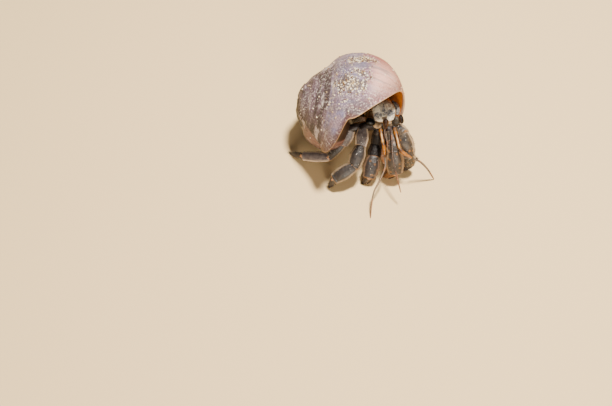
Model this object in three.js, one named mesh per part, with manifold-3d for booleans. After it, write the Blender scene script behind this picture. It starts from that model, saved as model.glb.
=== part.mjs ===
// A land hermit crab in a round snail shell, standing on the floor at life size.
// Millimetres, +Z up. The crab faces -Y, its right side is at -X. Lengths below are
// measured from the floor under the middle of the shell.
import * as THREE from 'three';
import { mergeVertices } from 'three/addons/utils/BufferGeometryUtils.js';
import Module from 'manifold-3d';

const wasm = await Module();
wasm.setup();

const gap = 0.3;              // clear space between neighbouring plates
const mergeTolerance = 0.004; // edges shorter than this are closed up

// ---------------------------------------------------------------- driving sizes

// The shell is a section that turns about an axis and grows by one ratio a turn.
const snail = {
  growth: 1.92,                               // size of a turn against the one before it
  apex: [-24.43, 0.04, 22.83],
  axis: [0.968, -0.117, -0.221],              // from the apex to the base
  outward: [0.017, -0.852, 0.523],            // from the axis to the middle of the mouth
  pathRadius: 11.68,                          // middle of the section from the axis, at the mouth
  pathDrop: 31.86,                            // middle of the section below the apex, at the mouth
  halfWidth: 17.05,
  halfHeight: 16.9,
  tilt: -0.327,                               // lean of the section
  squareness: 0.245,
  skew: -0.084,
  columella: 0.7,                             // least distance of the section from the axis
  wall: 1.1,
  lipLean: 0.805,                             // how the lip leans back towards the base
  lipBend: 0.584,
  lipCurl: 0.569,
  lipReach: 0.6,                              // how far the lip runs forward along the suture
  lipLobe: { size: 0.12, at: -0.5, width: 0.25 },   // the round lobe at the foot of the lip
  lipNotch: { size: 0.11, at: -0.2, width: 0.1 },   // and the notch above it
  sides: 20,
  crowding: 0.36,                             // how much closer the corners stand at the lobe of the lip
  turnStep: THREE.MathUtils.degToRad(21),
  lastTurn: THREE.MathUtils.degToRad(270),    // the stretch of tube that the mouth opens
  hollowDepth: THREE.MathUtils.degToRad(250), // how far the hollow runs in from the mouth
  hollowPast: 0.12,                           // and out past the lip, in radians
  spireLoft: THREE.MathUtils.degToRad(285),
  spireLofts: 2,
  coreSlope: 0.06,                            // radius of the solid core to its distance from the apex
  coreLength: 28,
  // Profiles of the worn tip and of the worn skin of the spire, as radius and drop.
  wornCore: [[0, 4.1], [3, 4.5], [6.3, 5.7], [9.1, 7.5], [11.9, 9.7], [0, 9.9]],
  wornSkin: [[0, 3.8], [3.3, 4.2], [6.6, 5.4], [9.6, 7.1], [13.2, 9.9], [33, 24.5], [0, 60]],
  sutureTurns: 1.15,                          // the filled stretch of the suture, from the mouth
  sutureOuter: -0.86,                         // where the filling starts on the later whorl
  sutureInner: -0.42,                         // and where it ends on the earlier one
  sutureRoot: [-1.6, 2.2],                    // from the middle of its face to its buried edge
};

// Limbs are chains of plates between joints, from the body to the tip.
const limbs = {
  leg3_right: {
    joints: [
      [0.0, -12.0, 18.0], [-2.3, -14.6, 12.7], [-7.6, -17.0, 6.8],
      [-17.7, -14.7, 4.0], [-23.5, -10.2, -0.3],
    ],
    merus: [4.2, 5.4, 4.4],
    carpus: [3.2, 3.9, 3.7],
    propodus: [3.4, 4.0, 3.6],
    dactyl: [2.8, 2.2, 0.9],
  },
  leg2_right: {
    joints: [
      [4.9, -12.2, 19.6], [4.4, -18.1, 15.6], [2.0, -23.8, 10.6],
      [-5.1, -26.5, 6.0], [-7.2, -26.2, -0.3],
    ],
    merus: [3.6, 5.2, 4.2],
    carpus: [4.2, 6.0, 5.2],
    propodus: [4.6, 5.6, 4.6],
    dactyl: [3.4, 2.6, 1.0],
  },
  leg2_left: {
    joints: [
      [17.4, -10.6, 18.6], [20.0, -13.6, 18.6], [22.6, -18.6, 11.8],
      [23.2, -17.6, 5.0], [20.8, -16.6, -0.3],
    ],
    merus: [3.6, 5.2, 5.4],
    carpus: [4.8, 6.2, 5.2],
    propodus: [4.6, 5.6, 4.4],
    dactyl: [3.6, 2.8, 1.0],
  },
  leg3_left: {
    joints: [
      [17.8, -6.6, 15.4], [21.4, -8.4, 12.4], [23.6, -10.8, 7.6],
      [23.8, -12.6, 3.4], [26.4, -10.8, -0.3],
    ],
    merus: [3.0, 3.8, 3.4],
    carpus: [3.0, 3.8, 3.5],
    propodus: [3.2, 3.6, 3.2],
    dactyl: [2.6, 2.0, 0.9],
  },
};
const limbPlates = ['merus', 'carpus', 'propodus', 'dactyl'];

const claws = {
  claw_left: {
    joints: [
      [15.2, -11.4, 17.6], [16.3, -16.0, 16.6], [16.9, -18.9, 14.6],
      [17.9, -22.2, 6.4], [13.5, -20.1, -0.3],
    ],
    merus: [3.6, 4.4, 4.4],
    carpus: [4.4, 5.8, 5.6],
    palm: [5.2, 7.4, 6.2],
    finger: [3.4, 2.8, 1.0],
    thumb: [2.1, -0.9, 0],
  },
  claw_right: {
    joints: [
      [10.6, -11.2, 16.8], [10.2, -13.5, 10.8], [9.6, -17.7, 9.0],
      [8.0, -23.5, 4.2], [5.7, -23.8, -0.3],
    ],
    merus: [3.4, 4.2, 4.2],
    carpus: [4.2, 5.2, 5.0],
    palm: [4.8, 6.4, 5.2],
    finger: [2.8, 2.4, 0.9],
    thumb: [1.9, -0.1, 0],
  },
};
const thumbRoot = [0, 0, 2];            // where the fixed finger starts, from the joint of the other
const plateFacing = [0, -0.64, 0.77];   // the broad side of every limb plate
const plateDepth = 0.76;                // thickness of a plate against its width
const jointLap = 0.16;                  // how far a plate runs past its joints, against its width

// Feelers, eyes and mouth parts, each a tapering rod along a few points.
const rods = {
  eyestalk_right: {
    path: [[11.4, -10.6, 20.2], [10.2, -11.6, 20.6], [9.0, -11.5, 21.5]],
    widths: [2.4, 2.4, 2.0],
  },
  eye_right: {
    path: [[8.8, -11.4, 21.7], [7.8, -11.3, 22.2], [7.0, -11.1, 22.6]],
    widths: [2.4, 2.7, 2.4],
  },
  eyestalk_left: {
    path: [[15.4, -9.6, 20.7], [17.0, -9.6, 21.3], [18.5, -9.4, 21.9]],
    widths: [2.6, 3.7, 3.4],
    depth: 0.66,
  },
  eye_left: {
    path: [[18.5, -9.4, 21.9], [19.3, -9.3, 22.1], [20.1, -9.2, 22.3]],
    widths: [3.1, 3.5, 2.6],
    depth: 0.74,
  },
  antenna_base_right: {
    path: [[11.3, -10.4, 19.3], [12.2, -15.1, 17.9], [13.2, -18.8, 15.6], [13.5, -20.4, 13.9]],
    widths: [2.0, 1.7, 1.5, 1.2],
  },
  antenna_base_left: {
    path: [[16.7, -10.9, 19.3], [17.9, -15.8, 18.6], [19.5, -20.0, 16.6], [23.8, -21.8, 14.4]],
    widths: [2.0, 1.7, 1.6, 1.2],
  },
  feeler_right: {
    path: [
      [13.6, -20.9, 13.4], [13.9, -23.7, 11.2], [12.1, -28.2, 8.5],
      [10.0, -32.1, 6.0], [9.3, -36.1, 3.0], [9.1, -40.2, 0.2],
    ],
    widths: [0.9, 0.85, 0.75, 0.65, 0.6, 0.6],
    steps: 13,
    sides: 6,
  },
  feeler_left: {
    path: [[24.4, -21.6, 14.1], [27.1, -21.0, 11.3], [30.0, -20.8, 7], [33.1, -20.6, 0.2]],
    widths: [0.9, 0.8, 0.7, 0.6],
    steps: 13,
    sides: 6,
  },
  antennule_right: {
    path: [[13.3, -10.6, 19.6], [13.2, -14.6, 19.6], [14.2, -16.9, 17.7], [14.5, -18.6, 15.6]],
    widths: [0.9, 0.75, 0.65, 0.6],
    steps: 10,
    sides: 6,
  },
  antennule_left: {
    path: [
      [15.3, -10.6, 19.6], [15.9, -16.4, 19.0], [16.6, -23.4, 15.6],
      [18.4, -28.6, 11.2], [20.2, -32.5, 6.5],
    ],
    widths: [0.9, 0.75, 0.7, 0.65, 0.6],
    steps: 10,
    sides: 6,
  },
  maxilliped_right: {
    path: [[13.4, -10.4, 17.6], [13.2, -13.6, 15.6], [13.2, -14.6, 12.6]],
    widths: [2.0, 1.9, 1.2],
  },
  maxilliped_left: {
    path: [[15.6, -10.4, 17.2], [15.3, -13.4, 14.8], [15.1, -14.4, 12.2]],
    widths: [2.0, 1.9, 1.2],
  },
};
const shield = {
  path: [[12.2, -1.9, 24.0], [12.4, -6.0, 23.6], [12.9, -10.6, 21.7]],
  widths: [6.8, 9.0, 8.2],
  depth: 0.38,
  sides: 12,
};
const sidePlate = {
  path: [[15.4, -2.0, 23.8], [17.4, -4.1, 23.2], [17.8, -7.4, 22.0]],
  widths: [1.8, 2.4, 2.0],
  depth: 0.8,
};
const rostrum = {
  path: [[13.3, -8.9, 22.9], [13.4, -11.4, 22.0], [13.5, -12.7, 20.4]],
  widths: [2.6, 2.3, 1.2],
};
const trunk = {
  path: [[13.4, -10.4, 19.0], [11.7, -5.4, 19.2], [9.4, -0.6, 20.0], [6.0, 3.4, 21.0], [1.6, 5.6, 21.0]],
  widths: [7.6, 12.6, 11.4, 8.6, 5.6],
  depth: 0.62,
  sides: 12,
};

// ---------------------------------------------------------------- solids from rings

function vector(values) {
  return new THREE.Vector3(...values);
}

function solidFromGeometry(geometry) {
  const bare = geometry.clone();
  bare.deleteAttribute('normal');
  bare.deleteAttribute('uv');
  const merged = mergeVertices(bare, 1e-5);
  const mesh = new wasm.Mesh({
    numProp: 3,
    vertProperties: new Float32Array(merged.attributes.position.array),
    triVerts: new Uint32Array(merged.index.array),
  });
  return new wasm.Manifold(mesh);
}

function signedVolume(points, triangles) {
  let volume = 0;
  for (let i = 0; i < triangles.length; i += 3) {
    const [a, b, c] = [points[triangles[i]], points[triangles[i + 1]], points[triangles[i + 2]]];
    volume += a.dot(b.clone().cross(c)) / 6;
  }
  return volume;
}

// A closed solid through rings of points, with a hub point closing each end.
function ringSolid(rings, firstHub, lastHub) {
  const sides = rings[0].length;
  const points = [...rings.flat(), firstHub, lastHub];
  const first = points.length - 2;
  const last = points.length - 1;
  const lastRing = (rings.length - 1) * sides;
  const triangles = [];
  for (let side = 0; side < sides; side += 1) {
    const next = (side + 1) % sides;
    for (let ring = 0; ring < rings.length - 1; ring += 1) {
      const a = ring * sides + side;
      const b = ring * sides + next;
      triangles.push(a, b, b + sides, a, b + sides, a + sides);
    }
    triangles.push(first, next, side, last, lastRing + side, lastRing + next);
  }
  if (signedVolume(points, triangles) < 0) {
    for (let i = 0; i < triangles.length; i += 3) {
      [triangles[i], triangles[i + 1]] = [triangles[i + 1], triangles[i]];
    }
  }
  const geometry = new THREE.BufferGeometry().setFromPoints(points);
  geometry.setIndex(triangles);
  return solidFromGeometry(geometry);
}

function middleOf(ring) {
  return ring.reduce((sum, point) => sum.add(point), new THREE.Vector3()).divideScalar(ring.length);
}

// ---------------------------------------------------------------- the snail shell

const shellAxis = vector(snail.axis).normalize();
const shellOut = vector(snail.outward);
shellOut.addScaledVector(shellAxis, -shellOut.dot(shellAxis)).normalize();
const shellSide = shellAxis.clone().cross(shellOut);

// Distance from the axis and along it of one point of the section, grown or shrunk by inset.
function sectionPoint(angle, inset) {
  const power = 2 / (2 + snail.squareness);
  const across = Math.sign(Math.cos(angle)) * Math.abs(Math.cos(angle)) ** power;
  const along = Math.sign(Math.sin(angle)) * Math.abs(Math.sin(angle)) ** power;
  const x = (snail.halfWidth - inset) * across * (1 + snail.skew * Math.sin(angle));
  const y = (snail.halfHeight - inset) * along;
  const radius = snail.pathRadius + Math.cos(snail.tilt) * x - Math.sin(snail.tilt) * y;
  const drop = snail.pathDrop + Math.sin(snail.tilt) * x + Math.cos(snail.tilt) * y;
  return [Math.max(radius, snail.columella + Math.max(inset, 0)), drop];
}

function shellPoint(turn, radius, drop) {
  const scale = snail.growth ** (turn / (2 * Math.PI));
  return vector(snail.apex)
    .addScaledVector(shellOut, scale * radius * Math.cos(turn))
    .addScaledVector(shellSide, scale * radius * Math.sin(turn))
    .addScaledVector(shellAxis, scale * drop);
}

function swell(angle, { size, at, width }) {
  return size * Math.exp(-(((angle - at) / width) ** 2));
}

// How far ahead of the plane of the mouth the lip runs at one place on the section.
function lipTurn(angle) {
  const sine = Math.sin(angle);
  const lead = -snail.lipLean * sine + snail.lipBend * (sine * sine - 0.5) - snail.lipCurl * sine ** 3;
  const reached = lead > 0 ? snail.lipReach * Math.tanh(lead / snail.lipReach) : lead;
  return reached + swell(angle, snail.lipLobe) - swell(angle, snail.lipNotch);
}

// The whole section as corners of radius, drop and the angle that says how the lip leads there.
function tubeSection(inset) {
  const corners = [];
  for (let side = 0; side < snail.sides; side += 1) {
    const even = (2 * Math.PI * side) / snail.sides - Math.PI;
    const angle = even - snail.crowding * Math.sin(even - snail.lipLobe.at);
    corners.push([...sectionPoint(angle, inset), angle]);
  }
  return corners;
}

// The corner between two whorls, filled so that the suture is a shallow groove.
function sutureSection(grow) {
  const outer = sectionPoint(snail.sutureOuter, -grow);
  const inner = sectionPoint(snail.sutureInner, -grow).map((length) => length / snail.growth);
  const under = snail.sutureRoot.map((offset, i) => (outer[i] + inner[i]) / 2 + offset);
  return [outer, inner, under].map((corner) => [...corner, snail.sutureOuter]);
}

// A stretch of a coiled section from one turn angle to another, given for each section angle.
function coil(startTurn, endTurn, section, steps) {
  const rings = [];
  for (let step = 0; step <= steps; step += 1) {
    rings.push(section.map(([radius, drop, angle]) => {
      const turn = THREE.MathUtils.lerp(startTurn(angle), endTurn(angle), step / steps);
      return shellPoint(turn, radius, drop);
    }));
  }
  return ringSolid(rings, middleOf(rings[0]), middleOf(rings[steps]));
}

// A turned solid on the axis of the shell, from pairs of radius and distance from the apex.
function turnedOnAxis(profile) {
  const lathe = new THREE.LatheGeometry(profile.map((pair) => new THREE.Vector2(...pair)), snail.sides);
  const turn = new THREE.Quaternion().setFromUnitVectors(new THREE.Vector3(0, 1, 0), shellAxis);
  lathe.applyQuaternion(turn);
  lathe.translate(...snail.apex);
  return solidFromGeometry(lathe);
}

function shellSolid(grow) {
  const tube = tubeSection(-grow);
  const steps = Math.round(snail.lastTurn / snail.turnStep) + 1;
  let solid = coil(() => -snail.lastTurn, lipTurn, tube, steps);
  const hollowTube = tubeSection(snail.wall + grow);
  const pastLip = (angle) => lipTurn(angle) + snail.hollowPast;
  const hollow = coil(() => -snail.hollowDepth, pastLip, hollowTube, steps);
  solid = solid.subtract(hollow);
  const spireSteps = Math.round(snail.spireLoft / snail.turnStep);
  let spire = null;
  for (let i = 0; i < snail.spireLofts; i += 1) {
    const end = -snail.lastTurn - i * snail.spireLoft;
    const loft = coil(() => end - snail.spireLoft, () => end, tube, spireSteps);
    spire = spire ? spire.add(loft) : loft;
  }
  spire = spire.intersect(turnedOnAxis(grown(snail.wornSkin, grow)));
  const sutureStart = -2 * Math.PI * snail.sutureTurns;
  const sutureSteps = Math.round(-sutureStart / snail.turnStep);
  const suture = coil(() => sutureStart, lipTurn, sutureSection(grow), sutureSteps);
  const coreEnd = snail.coreSlope * snail.coreLength;
  const coreTop = snail.wornCore[0][1] + 1;
  const core = turnedOnAxis([[0, coreTop], [coreEnd, snail.coreLength], [0, snail.coreLength + 1.5]]);
  return solid.add(spire).add(suture).add(core).add(turnedOnAxis(grown(snail.wornCore, grow)));
}

// The profile moved out by the same distance everywhere it leaves the axis.
function grown(profile, grow) {
  return profile.map(([radius, drop]) => [radius > 0 ? radius + grow : 0, drop - grow]);
}

// ---------------------------------------------------------------- limb plates and rods

function widthAt(widths, s) {
  const place = s * (widths.length - 1);
  const i = Math.min(Math.floor(place), widths.length - 2);
  return THREE.MathUtils.lerp(widths[i], widths[i + 1], THREE.MathUtils.smoothstep(place - i, 0, 1));
}

// A rounded rod along a path, wide across its facing direction and thinner through it.
function rod({ path, widths, depth = 1, facing = plateFacing, bluntness = 4, steps = 7, sides = 8 }, grow) {
  const curve = new THREE.CatmullRomCurve3(path.map(vector), false, 'centripetal');
  const rings = [];
  const front = vector(facing);
  for (let step = 1; step < steps; step += 1) {
    const s = (1 - Math.cos((Math.PI * step) / steps)) / 2;
    const fullness = (1 - Math.abs(2 * s - 1) ** bluntness) ** (1 / bluntness);
    const along = curve.getTangentAt(s);
    const across = along.clone().cross(front).normalize();
    const through = across.clone().cross(along);
    const half = (widthAt(widths, s) / 2) * fullness;
    const ring = [];
    for (let side = 0; side < sides; side += 1) {
      const angle = (2 * Math.PI * side) / sides;
      ring.push(curve.getPointAt(s)
        .addScaledVector(across, (half + grow) * Math.cos(angle))
        .addScaledVector(through, (half * depth + grow) * Math.sin(angle)));
    }
    rings.push(ring);
  }
  const start = curve.getPointAt(0).addScaledVector(curve.getTangentAt(0), -grow);
  const end = curve.getPointAt(1).addScaledVector(curve.getTangentAt(1), grow);
  return ringSolid(rings, start, end);
}

function limbPlate(limb, index, name) {
  const [start, end] = [vector(limb.joints[index]), vector(limb.joints[index + 1])];
  const along = end.clone().sub(start).normalize();
  const widths = limb[name];
  start.addScaledVector(along, -jointLap * widths[0]);
  if (index < 3) {
    end.addScaledVector(along, jointLap * widths[2]);
  }
  const spec = { path: [start.toArray(), end.toArray()], widths, depth: plateDepth, bluntness: 6 };
  return (grow) => rod(spec, grow);
}

// The palm carries the fixed finger, which closes against the movable one.
function palmPlate(claw) {
  const palm = limbPlate(claw, 2, 'palm');
  const tip = vector(claw.joints[4]).add(vector(claw.thumb));
  const root = vector(claw.joints[3]).addScaledVector(vector(claw.thumb), 0.5).add(vector(thumbRoot));
  const spec = { path: [root.toArray(), tip.toArray()], widths: claw.finger, depth: plateDepth };
  return (grow) => palm(grow).add(rod(spec, grow));
}

// ---------------------------------------------------------------- materials

function finish(color, roughness, metalness = 0) {
  return new THREE.MeshStandardMaterial({ color, roughness, metalness });
}

const finishes = {
  snailShell: finish(0xb9a2a8, 0.42),
  carapace: finish(0xc9c4b4, 0.45),
  legPlate: finish(0x8d8576, 0.5),
  clawPlate: finish(0x96826d, 0.5),
  jointOrange: finish(0xc27a35, 0.45),
  eyeDark: finish(0x2a1410, 0.12),
  softBody: finish(0x6d4a33, 0.6),
};

// ---------------------------------------------------------------- assembly

const hermitCrab = new THREE.Group();
const builders = [];

function addPart(name, material, build) {
  builders.push({ name, material, build });
}

addPart('shell', finishes.snailShell, shellSolid);
addPart('shield', finishes.carapace, (grow) => rod(shield, grow));
addPart('side_plate_left', finishes.carapace, (grow) => rod(sidePlate, grow));
const rodFinishes = {
  eye: finishes.eyeDark,
  eyestalk: finishes.legPlate,
  antenna_base: finishes.jointOrange,
  feeler: finishes.jointOrange,
  antennule: finishes.jointOrange,
};
for (const side of ['right', 'left']) {
  for (const [part, material] of Object.entries(rodFinishes)) {
    addPart(`${part}_${side}`, material, (grow) => rod(rods[`${part}_${side}`], grow));
  }
}
addPart('rostrum', finishes.carapace, (grow) => rod(rostrum, grow));
for (const [name, claw] of Object.entries(claws)) {
  addPart(`${name}_finger`, finishes.clawPlate, limbPlate(claw, 3, 'finger'));
  addPart(`${name}_palm`, finishes.clawPlate, palmPlate(claw));
  addPart(`${name}_carpus`, finishes.clawPlate, limbPlate(claw, 1, 'carpus'));
  addPart(`${name}_merus`, finishes.clawPlate, limbPlate(claw, 0, 'merus'));
}
for (const [name, limb] of Object.entries(limbs)) {
  for (const index of [3, 2, 1, 0]) {
    const plate = limbPlates[index];
    addPart(`${name}_${plate}`, finishes.legPlate, limbPlate(limb, index, plate));
  }
}
for (const side of ['right', 'left']) {
  addPart(`maxilliped_${side}`, finishes.legPlate, (grow) => rod(rods[`maxilliped_${side}`], grow));
}
addPart('trunk', finishes.softBody, (grow) => rod(trunk, grow));

function boxesMeet(a, b) {
  return a.min.every((low, i) => low < b.max[i] && b.min[i] < a.max[i]);
}

function largestBody(solid) {
  const bodies = solid.decompose();
  return bodies.reduce((best, body) => (body.volume() > best.volume() ? body : best), bodies[0]);
}

function geometryFromSolid(solid) {
  const mesh = solid.getMesh();
  const geometry = new THREE.BufferGeometry();
  geometry.setAttribute('position', new THREE.BufferAttribute(mesh.vertProperties, 3));
  geometry.setIndex(new THREE.BufferAttribute(mesh.triVerts, 1));
  return geometry;
}

// Each part gives way, by the gap, to those listed before it, and ends flat on the floor.
const floorUp = [0, 0, 1];
const placed = [];
for (const { name, material, build } of builders) {
  let solid = build(0).trimByPlane(floorUp, 0);
  for (const other of placed) {
    const room = other.room();
    if (boxesMeet(solid.boundingBox(), room.boundingBox())) {
      solid = solid.subtract(room);
    }
  }
  solid = largestBody(solid.simplify(mergeTolerance));
  let room = null;
  placed.push({ room: () => (room ??= build(gap)) });
  const mesh = new THREE.Mesh(geometryFromSolid(solid), material);
  mesh.name = name;
  hermitCrab.add(mesh);
}

// The origin is on the floor, under the middle of the whole model.
const bounds = new THREE.Box3().setFromObject(hermitCrab);
const middle = bounds.getCenter(new THREE.Vector3());
for (const mesh of hermitCrab.children) {
  mesh.geometry.translate(-middle.x, -middle.y, -bounds.min.z);
}

export default hermitCrab;
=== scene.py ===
# A land hermit crab half out of its snail shell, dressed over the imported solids.
# Lengths in the dictionaries are millimetres from the floor under the middle of the shell.
import math
import bpy
import numpy as np
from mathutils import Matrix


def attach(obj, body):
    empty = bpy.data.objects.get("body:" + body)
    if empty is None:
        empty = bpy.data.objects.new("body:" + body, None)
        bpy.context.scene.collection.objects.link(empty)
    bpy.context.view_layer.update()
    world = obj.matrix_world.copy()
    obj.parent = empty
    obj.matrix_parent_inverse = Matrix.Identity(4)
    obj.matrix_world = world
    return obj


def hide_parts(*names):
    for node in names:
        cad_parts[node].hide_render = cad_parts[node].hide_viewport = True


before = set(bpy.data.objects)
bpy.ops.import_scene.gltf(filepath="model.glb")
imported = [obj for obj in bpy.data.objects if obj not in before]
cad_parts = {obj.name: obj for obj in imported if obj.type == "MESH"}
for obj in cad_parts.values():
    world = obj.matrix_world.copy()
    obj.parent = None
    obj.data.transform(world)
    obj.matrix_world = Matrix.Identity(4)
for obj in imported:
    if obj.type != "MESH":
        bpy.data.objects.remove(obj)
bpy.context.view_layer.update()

mm = 0.001
standsAt = np.array([4.848, -10.606, 0.0])  # from under the shell's middle to the model's origin


def toScene(points):
    return (np.asarray(points, dtype=float) - standsAt) * mm


def unit(vector):
    vector = np.asarray(vector, dtype=float)
    return vector / np.linalg.norm(vector, axis=-1, keepdims=True)


# camera and light first, so that any stage of the work can be looked at

view = {"place": (0.0, -357.4, 445.9), "pitch": 54.03, "turn": 2.769, "lens": 85.0, "sensor": 36.0,
        "nearest": 0.01}
studio = {
    "floorSize": 1.6, "floorColor": (0.83, 0.59, 0.30), "floorRoughness": 0.9, "aimAt": (0, 0, 0.015),
    "keyFrom": (0.10, 0.035, 0.61), "keySize": 0.09, "keyPower": 10.9, "keyColor": (1.0, 0.95, 0.88),
    "fillFrom": (0.10, -0.56, 0.13), "fillSize": 0.3, "fillPower": 4.5, "fillColor": (1.0, 0.92, 0.80),
    "skyColor": (1.0, 0.97, 0.93), "skyStrength": 0.09,
}


def addObject(name, data):
    thing = bpy.data.objects.new(name, data)
    bpy.context.scene.collection.objects.link(thing)
    return thing


def addLight(kind):
    lamp = bpy.data.lights.new(kind + "Light", "AREA")
    lamp.shape = "DISK"
    lamp.size = studio[kind + "Size"]
    lamp.energy = studio[kind + "Power"]
    lamp.color = studio[kind + "Color"]
    holder = addObject(kind + "Light", lamp)
    holder.location = studio[kind + "From"]
    x, y, z = np.array(studio["aimAt"]) - studio[kind + "From"]
    holder.rotation_euler = (math.atan2(math.hypot(x, y), -z), 0.0, math.atan2(y, x) - math.pi / 2)


def addCamera():
    cameraData = bpy.data.cameras.new("viewCamera")
    cameraData.lens = view["lens"]
    cameraData.sensor_width = view["sensor"]
    cameraData.clip_start = view["nearest"]
    camera = addObject("viewCamera", cameraData)
    camera.location = toScene(view["place"])
    camera.rotation_euler = (math.radians(90 - view["pitch"]), 0, math.radians(view["turn"]))
    bpy.context.scene.camera = camera


def addSky():
    world = bpy.data.worlds.new("softSky")
    world.use_nodes = True
    background = world.node_tree.nodes["Background"]
    background.inputs["Color"].default_value = (*studio["skyColor"], 1)
    background.inputs["Strength"].default_value = studio["skyStrength"]
    bpy.context.scene.world = world


def addFloor():
    half = studio["floorSize"] / 2
    corners = [(-half, -half, 0), (half, -half, 0), (half, half, 0), (-half, half, 0)]
    floorMesh = bpy.data.meshes.new("floor")
    floorMesh.from_pydata(corners, [], [(0, 1, 2, 3)])
    floor = addObject("floor", floorMesh)
    matte = bpy.data.materials.new("floorMatte")
    matte.use_nodes = True
    principled = matte.node_tree.nodes["Principled BSDF"]
    principled.inputs["Base Color"].default_value = (*studio["floorColor"], 1)
    principled.inputs["Roughness"].default_value = studio["floorRoughness"]
    floorMesh.materials.append(matte)


addCamera()
addLight("key")
addLight("fill")
addSky()
addFloor()
print("stage: camera, lights and floor")


# shader writing: a wire stands for a socket, and sums on wires add their nodes

def srgb(code):
    channels = [int(code[i:i + 2], 16) / 255 for i in (0, 2, 4)]
    return (*[c / 12.92 if c <= 0.04045 else ((c + 0.055) / 1.055) ** 2.4 for c in channels], 1.0)


class Wire:
    def __init__(self, paint, socket):
        self.paint = paint
        self.socket = socket

    def maths(self, operation, first, second=None):
        values = {0: first} if second is None else {0: first, 1: second}
        return self.paint.node("ShaderNodeMath", {"operation": operation}, values)

    def __add__(self, other):
        return self.maths("ADD", self, other)

    def __radd__(self, other):
        return self.maths("ADD", other, self)

    def __sub__(self, other):
        return self.maths("SUBTRACT", self, other)

    def __rsub__(self, other):
        return self.maths("SUBTRACT", other, self)

    def __mul__(self, other):
        return self.maths("MULTIPLY", self, other)

    def __rmul__(self, other):
        return self.maths("MULTIPLY", other, self)

    def __truediv__(self, other):
        return self.maths("DIVIDE", self, other)

    def __abs__(self):
        return self.maths("ABSOLUTE", self)

    def most(self, other):
        return self.maths("MAXIMUM", self, other)

    def sine(self):
        return self.maths("SINE", self)

    def cosine(self):
        return self.maths("COSINE", self)

    def between(self, low, high):
        return self.paint.node("ShaderNodeMapRange", {"interpolation_type": "SMOOTHSTEP"},
                               {"Value": self, "From Min": low, "From Max": high})


class Paint:
    def __init__(self, name):
        self.material = bpy.data.materials.new(name)
        self.material.use_nodes = True
        self.tree = self.material.node_tree
        self.surface = self.tree.nodes["Principled BSDF"]
        self.place = self.node("ShaderNodeTexCoord", output="Object")

    def node(self, kind, settings=None, values=None, output=0):
        made = self.tree.nodes.new(kind)
        for key, value in (settings or {}).items():
            setattr(made, key, value)
        for key, value in (values or {}).items():
            self.feed(made.inputs[key], value)
        return Wire(self, made.outputs[output])

    def feed(self, socket, value):
        if isinstance(value, Wire):
            self.tree.links.new(value.socket, socket)
        else:
            socket.default_value = value

    def field(self, name):
        return self.node("ShaderNodeAttribute", {"attribute_name": name}, output="Fac")

    def axis(self, index):
        return self.node("ShaderNodeSeparateXYZ", values={0: self.place}, output=index)

    def noise(self, size, detail=3.0, roughness=0.55, distortion=0.0, vector=None):
        return self.node("ShaderNodeTexNoise", {"noise_dimensions": "3D"}, {
            "Vector": vector or self.place, "Scale": 1 / size, "Detail": detail,
            "Roughness": roughness, "Distortion": distortion})

    def cells(self, size, output="Distance"):
        return self.node("ShaderNodeTexVoronoi", {"feature": "F1"}, {
            "Vector": self.place, "Scale": 1 / size}, output)

    def vector(self, x, y, z):
        return self.node("ShaderNodeCombineXYZ", values={0: x, 1: y, 2: z})

    def mix(self, factor, first, second):
        first, second = (srgb(tone) if isinstance(tone, str) else tone for tone in (first, second))
        return self.node("ShaderNodeMix", {"data_type": "RGBA"}, {0: factor, 6: first, 7: second}, 2)

    def layered(self, color, tones, layers):
        for mask, tone in layers:
            color = self.mix(mask, color, tones[tone])
        return color

    def bump(self, height, distance):
        return self.node("ShaderNodeBump", values={"Height": height, "Distance": distance})

    def finish(self, **sockets):
        for key, value in sockets.items():
            self.feed(self.surface.inputs[key.replace("_", " ")], value)
        return self.material


# meshes from rings of points

def ringFaces(rings, sides):
    first = np.arange(rings - 1)[:, None] * sides
    side = np.arange(sides)[None, :]
    following = (side + 1) % sides
    quads = np.stack([first + side, first + following, first + following + sides, first + side + sides], -1)
    faces = [tuple(quad) for quad in quads.reshape(-1, 4).tolist()]
    startHub = rings * sides
    endHub = startHub + 1
    last = (rings - 1) * sides
    for a in range(sides):
        b = (a + 1) % sides
        faces.append((startHub, b, a))
        faces.append((endHub, last + a, last + b))
    return faces


def facesOutward(points, faces):
    centre = points.mean(0)
    triangles = np.array([face[:3] for face in faces] + [(f[0], f[2], f[3]) for f in faces if len(f) == 4])
    a, b, c = (points[triangles[:, i]] - centre for i in range(3))
    return np.einsum("ij,ij->i", a, np.cross(b, c)).sum() > 0


def makeMesh(name, points, faces, fields=None, smoothAngle=None):
    points = np.asarray(points, dtype=float)
    if not facesOutward(points, faces):
        faces = [face[::-1] for face in faces]
    mesh = bpy.data.meshes.new(name)
    mesh.from_pydata(toScene(points).tolist(), [], faces)
    addFields(mesh, fields or {})
    finishMesh(mesh, smoothAngle)
    return addObject(name, mesh)


def addFields(mesh, fields):
    for name, values in fields.items():
        layer = mesh.attributes.new(name, "FLOAT", "POINT")
        layer.data.foreach_set("value", np.asarray(values, dtype=np.float32).ravel())


def finishMesh(mesh, smoothAngle=None):
    mesh.shade_smooth()
    if smoothAngle is not None:
        mesh.set_sharp_from_angle(angle=math.radians(smoothAngle))
    mesh.update()


def applied(piece):
    bpy.context.view_layer.update()
    depsgraph = bpy.context.evaluated_depsgraph_get()
    mesh = bpy.data.meshes.new_from_object(piece.evaluated_get(depsgraph))
    piece.modifiers.clear()
    piece.data = mesh
    return piece


def combine(piece, other, operation):
    cut = piece.modifiers.new("cut", "BOOLEAN")
    cut.operation = operation
    cut.solver = "MANIFOLD"
    cut.object = other
    applied(piece)
    bpy.data.objects.remove(other)
    return piece


def meshPoints(mesh):
    flat = np.empty(len(mesh.vertices) * 3)
    mesh.vertices.foreach_get("co", flat)
    return flat.reshape(-1, 3)


def meshNormals(mesh):
    flat = np.empty(len(mesh.vertices) * 3, dtype=np.float32)
    mesh.vertex_normals.foreach_get("vector", flat)
    return flat.reshape(-1, 3)


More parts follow.
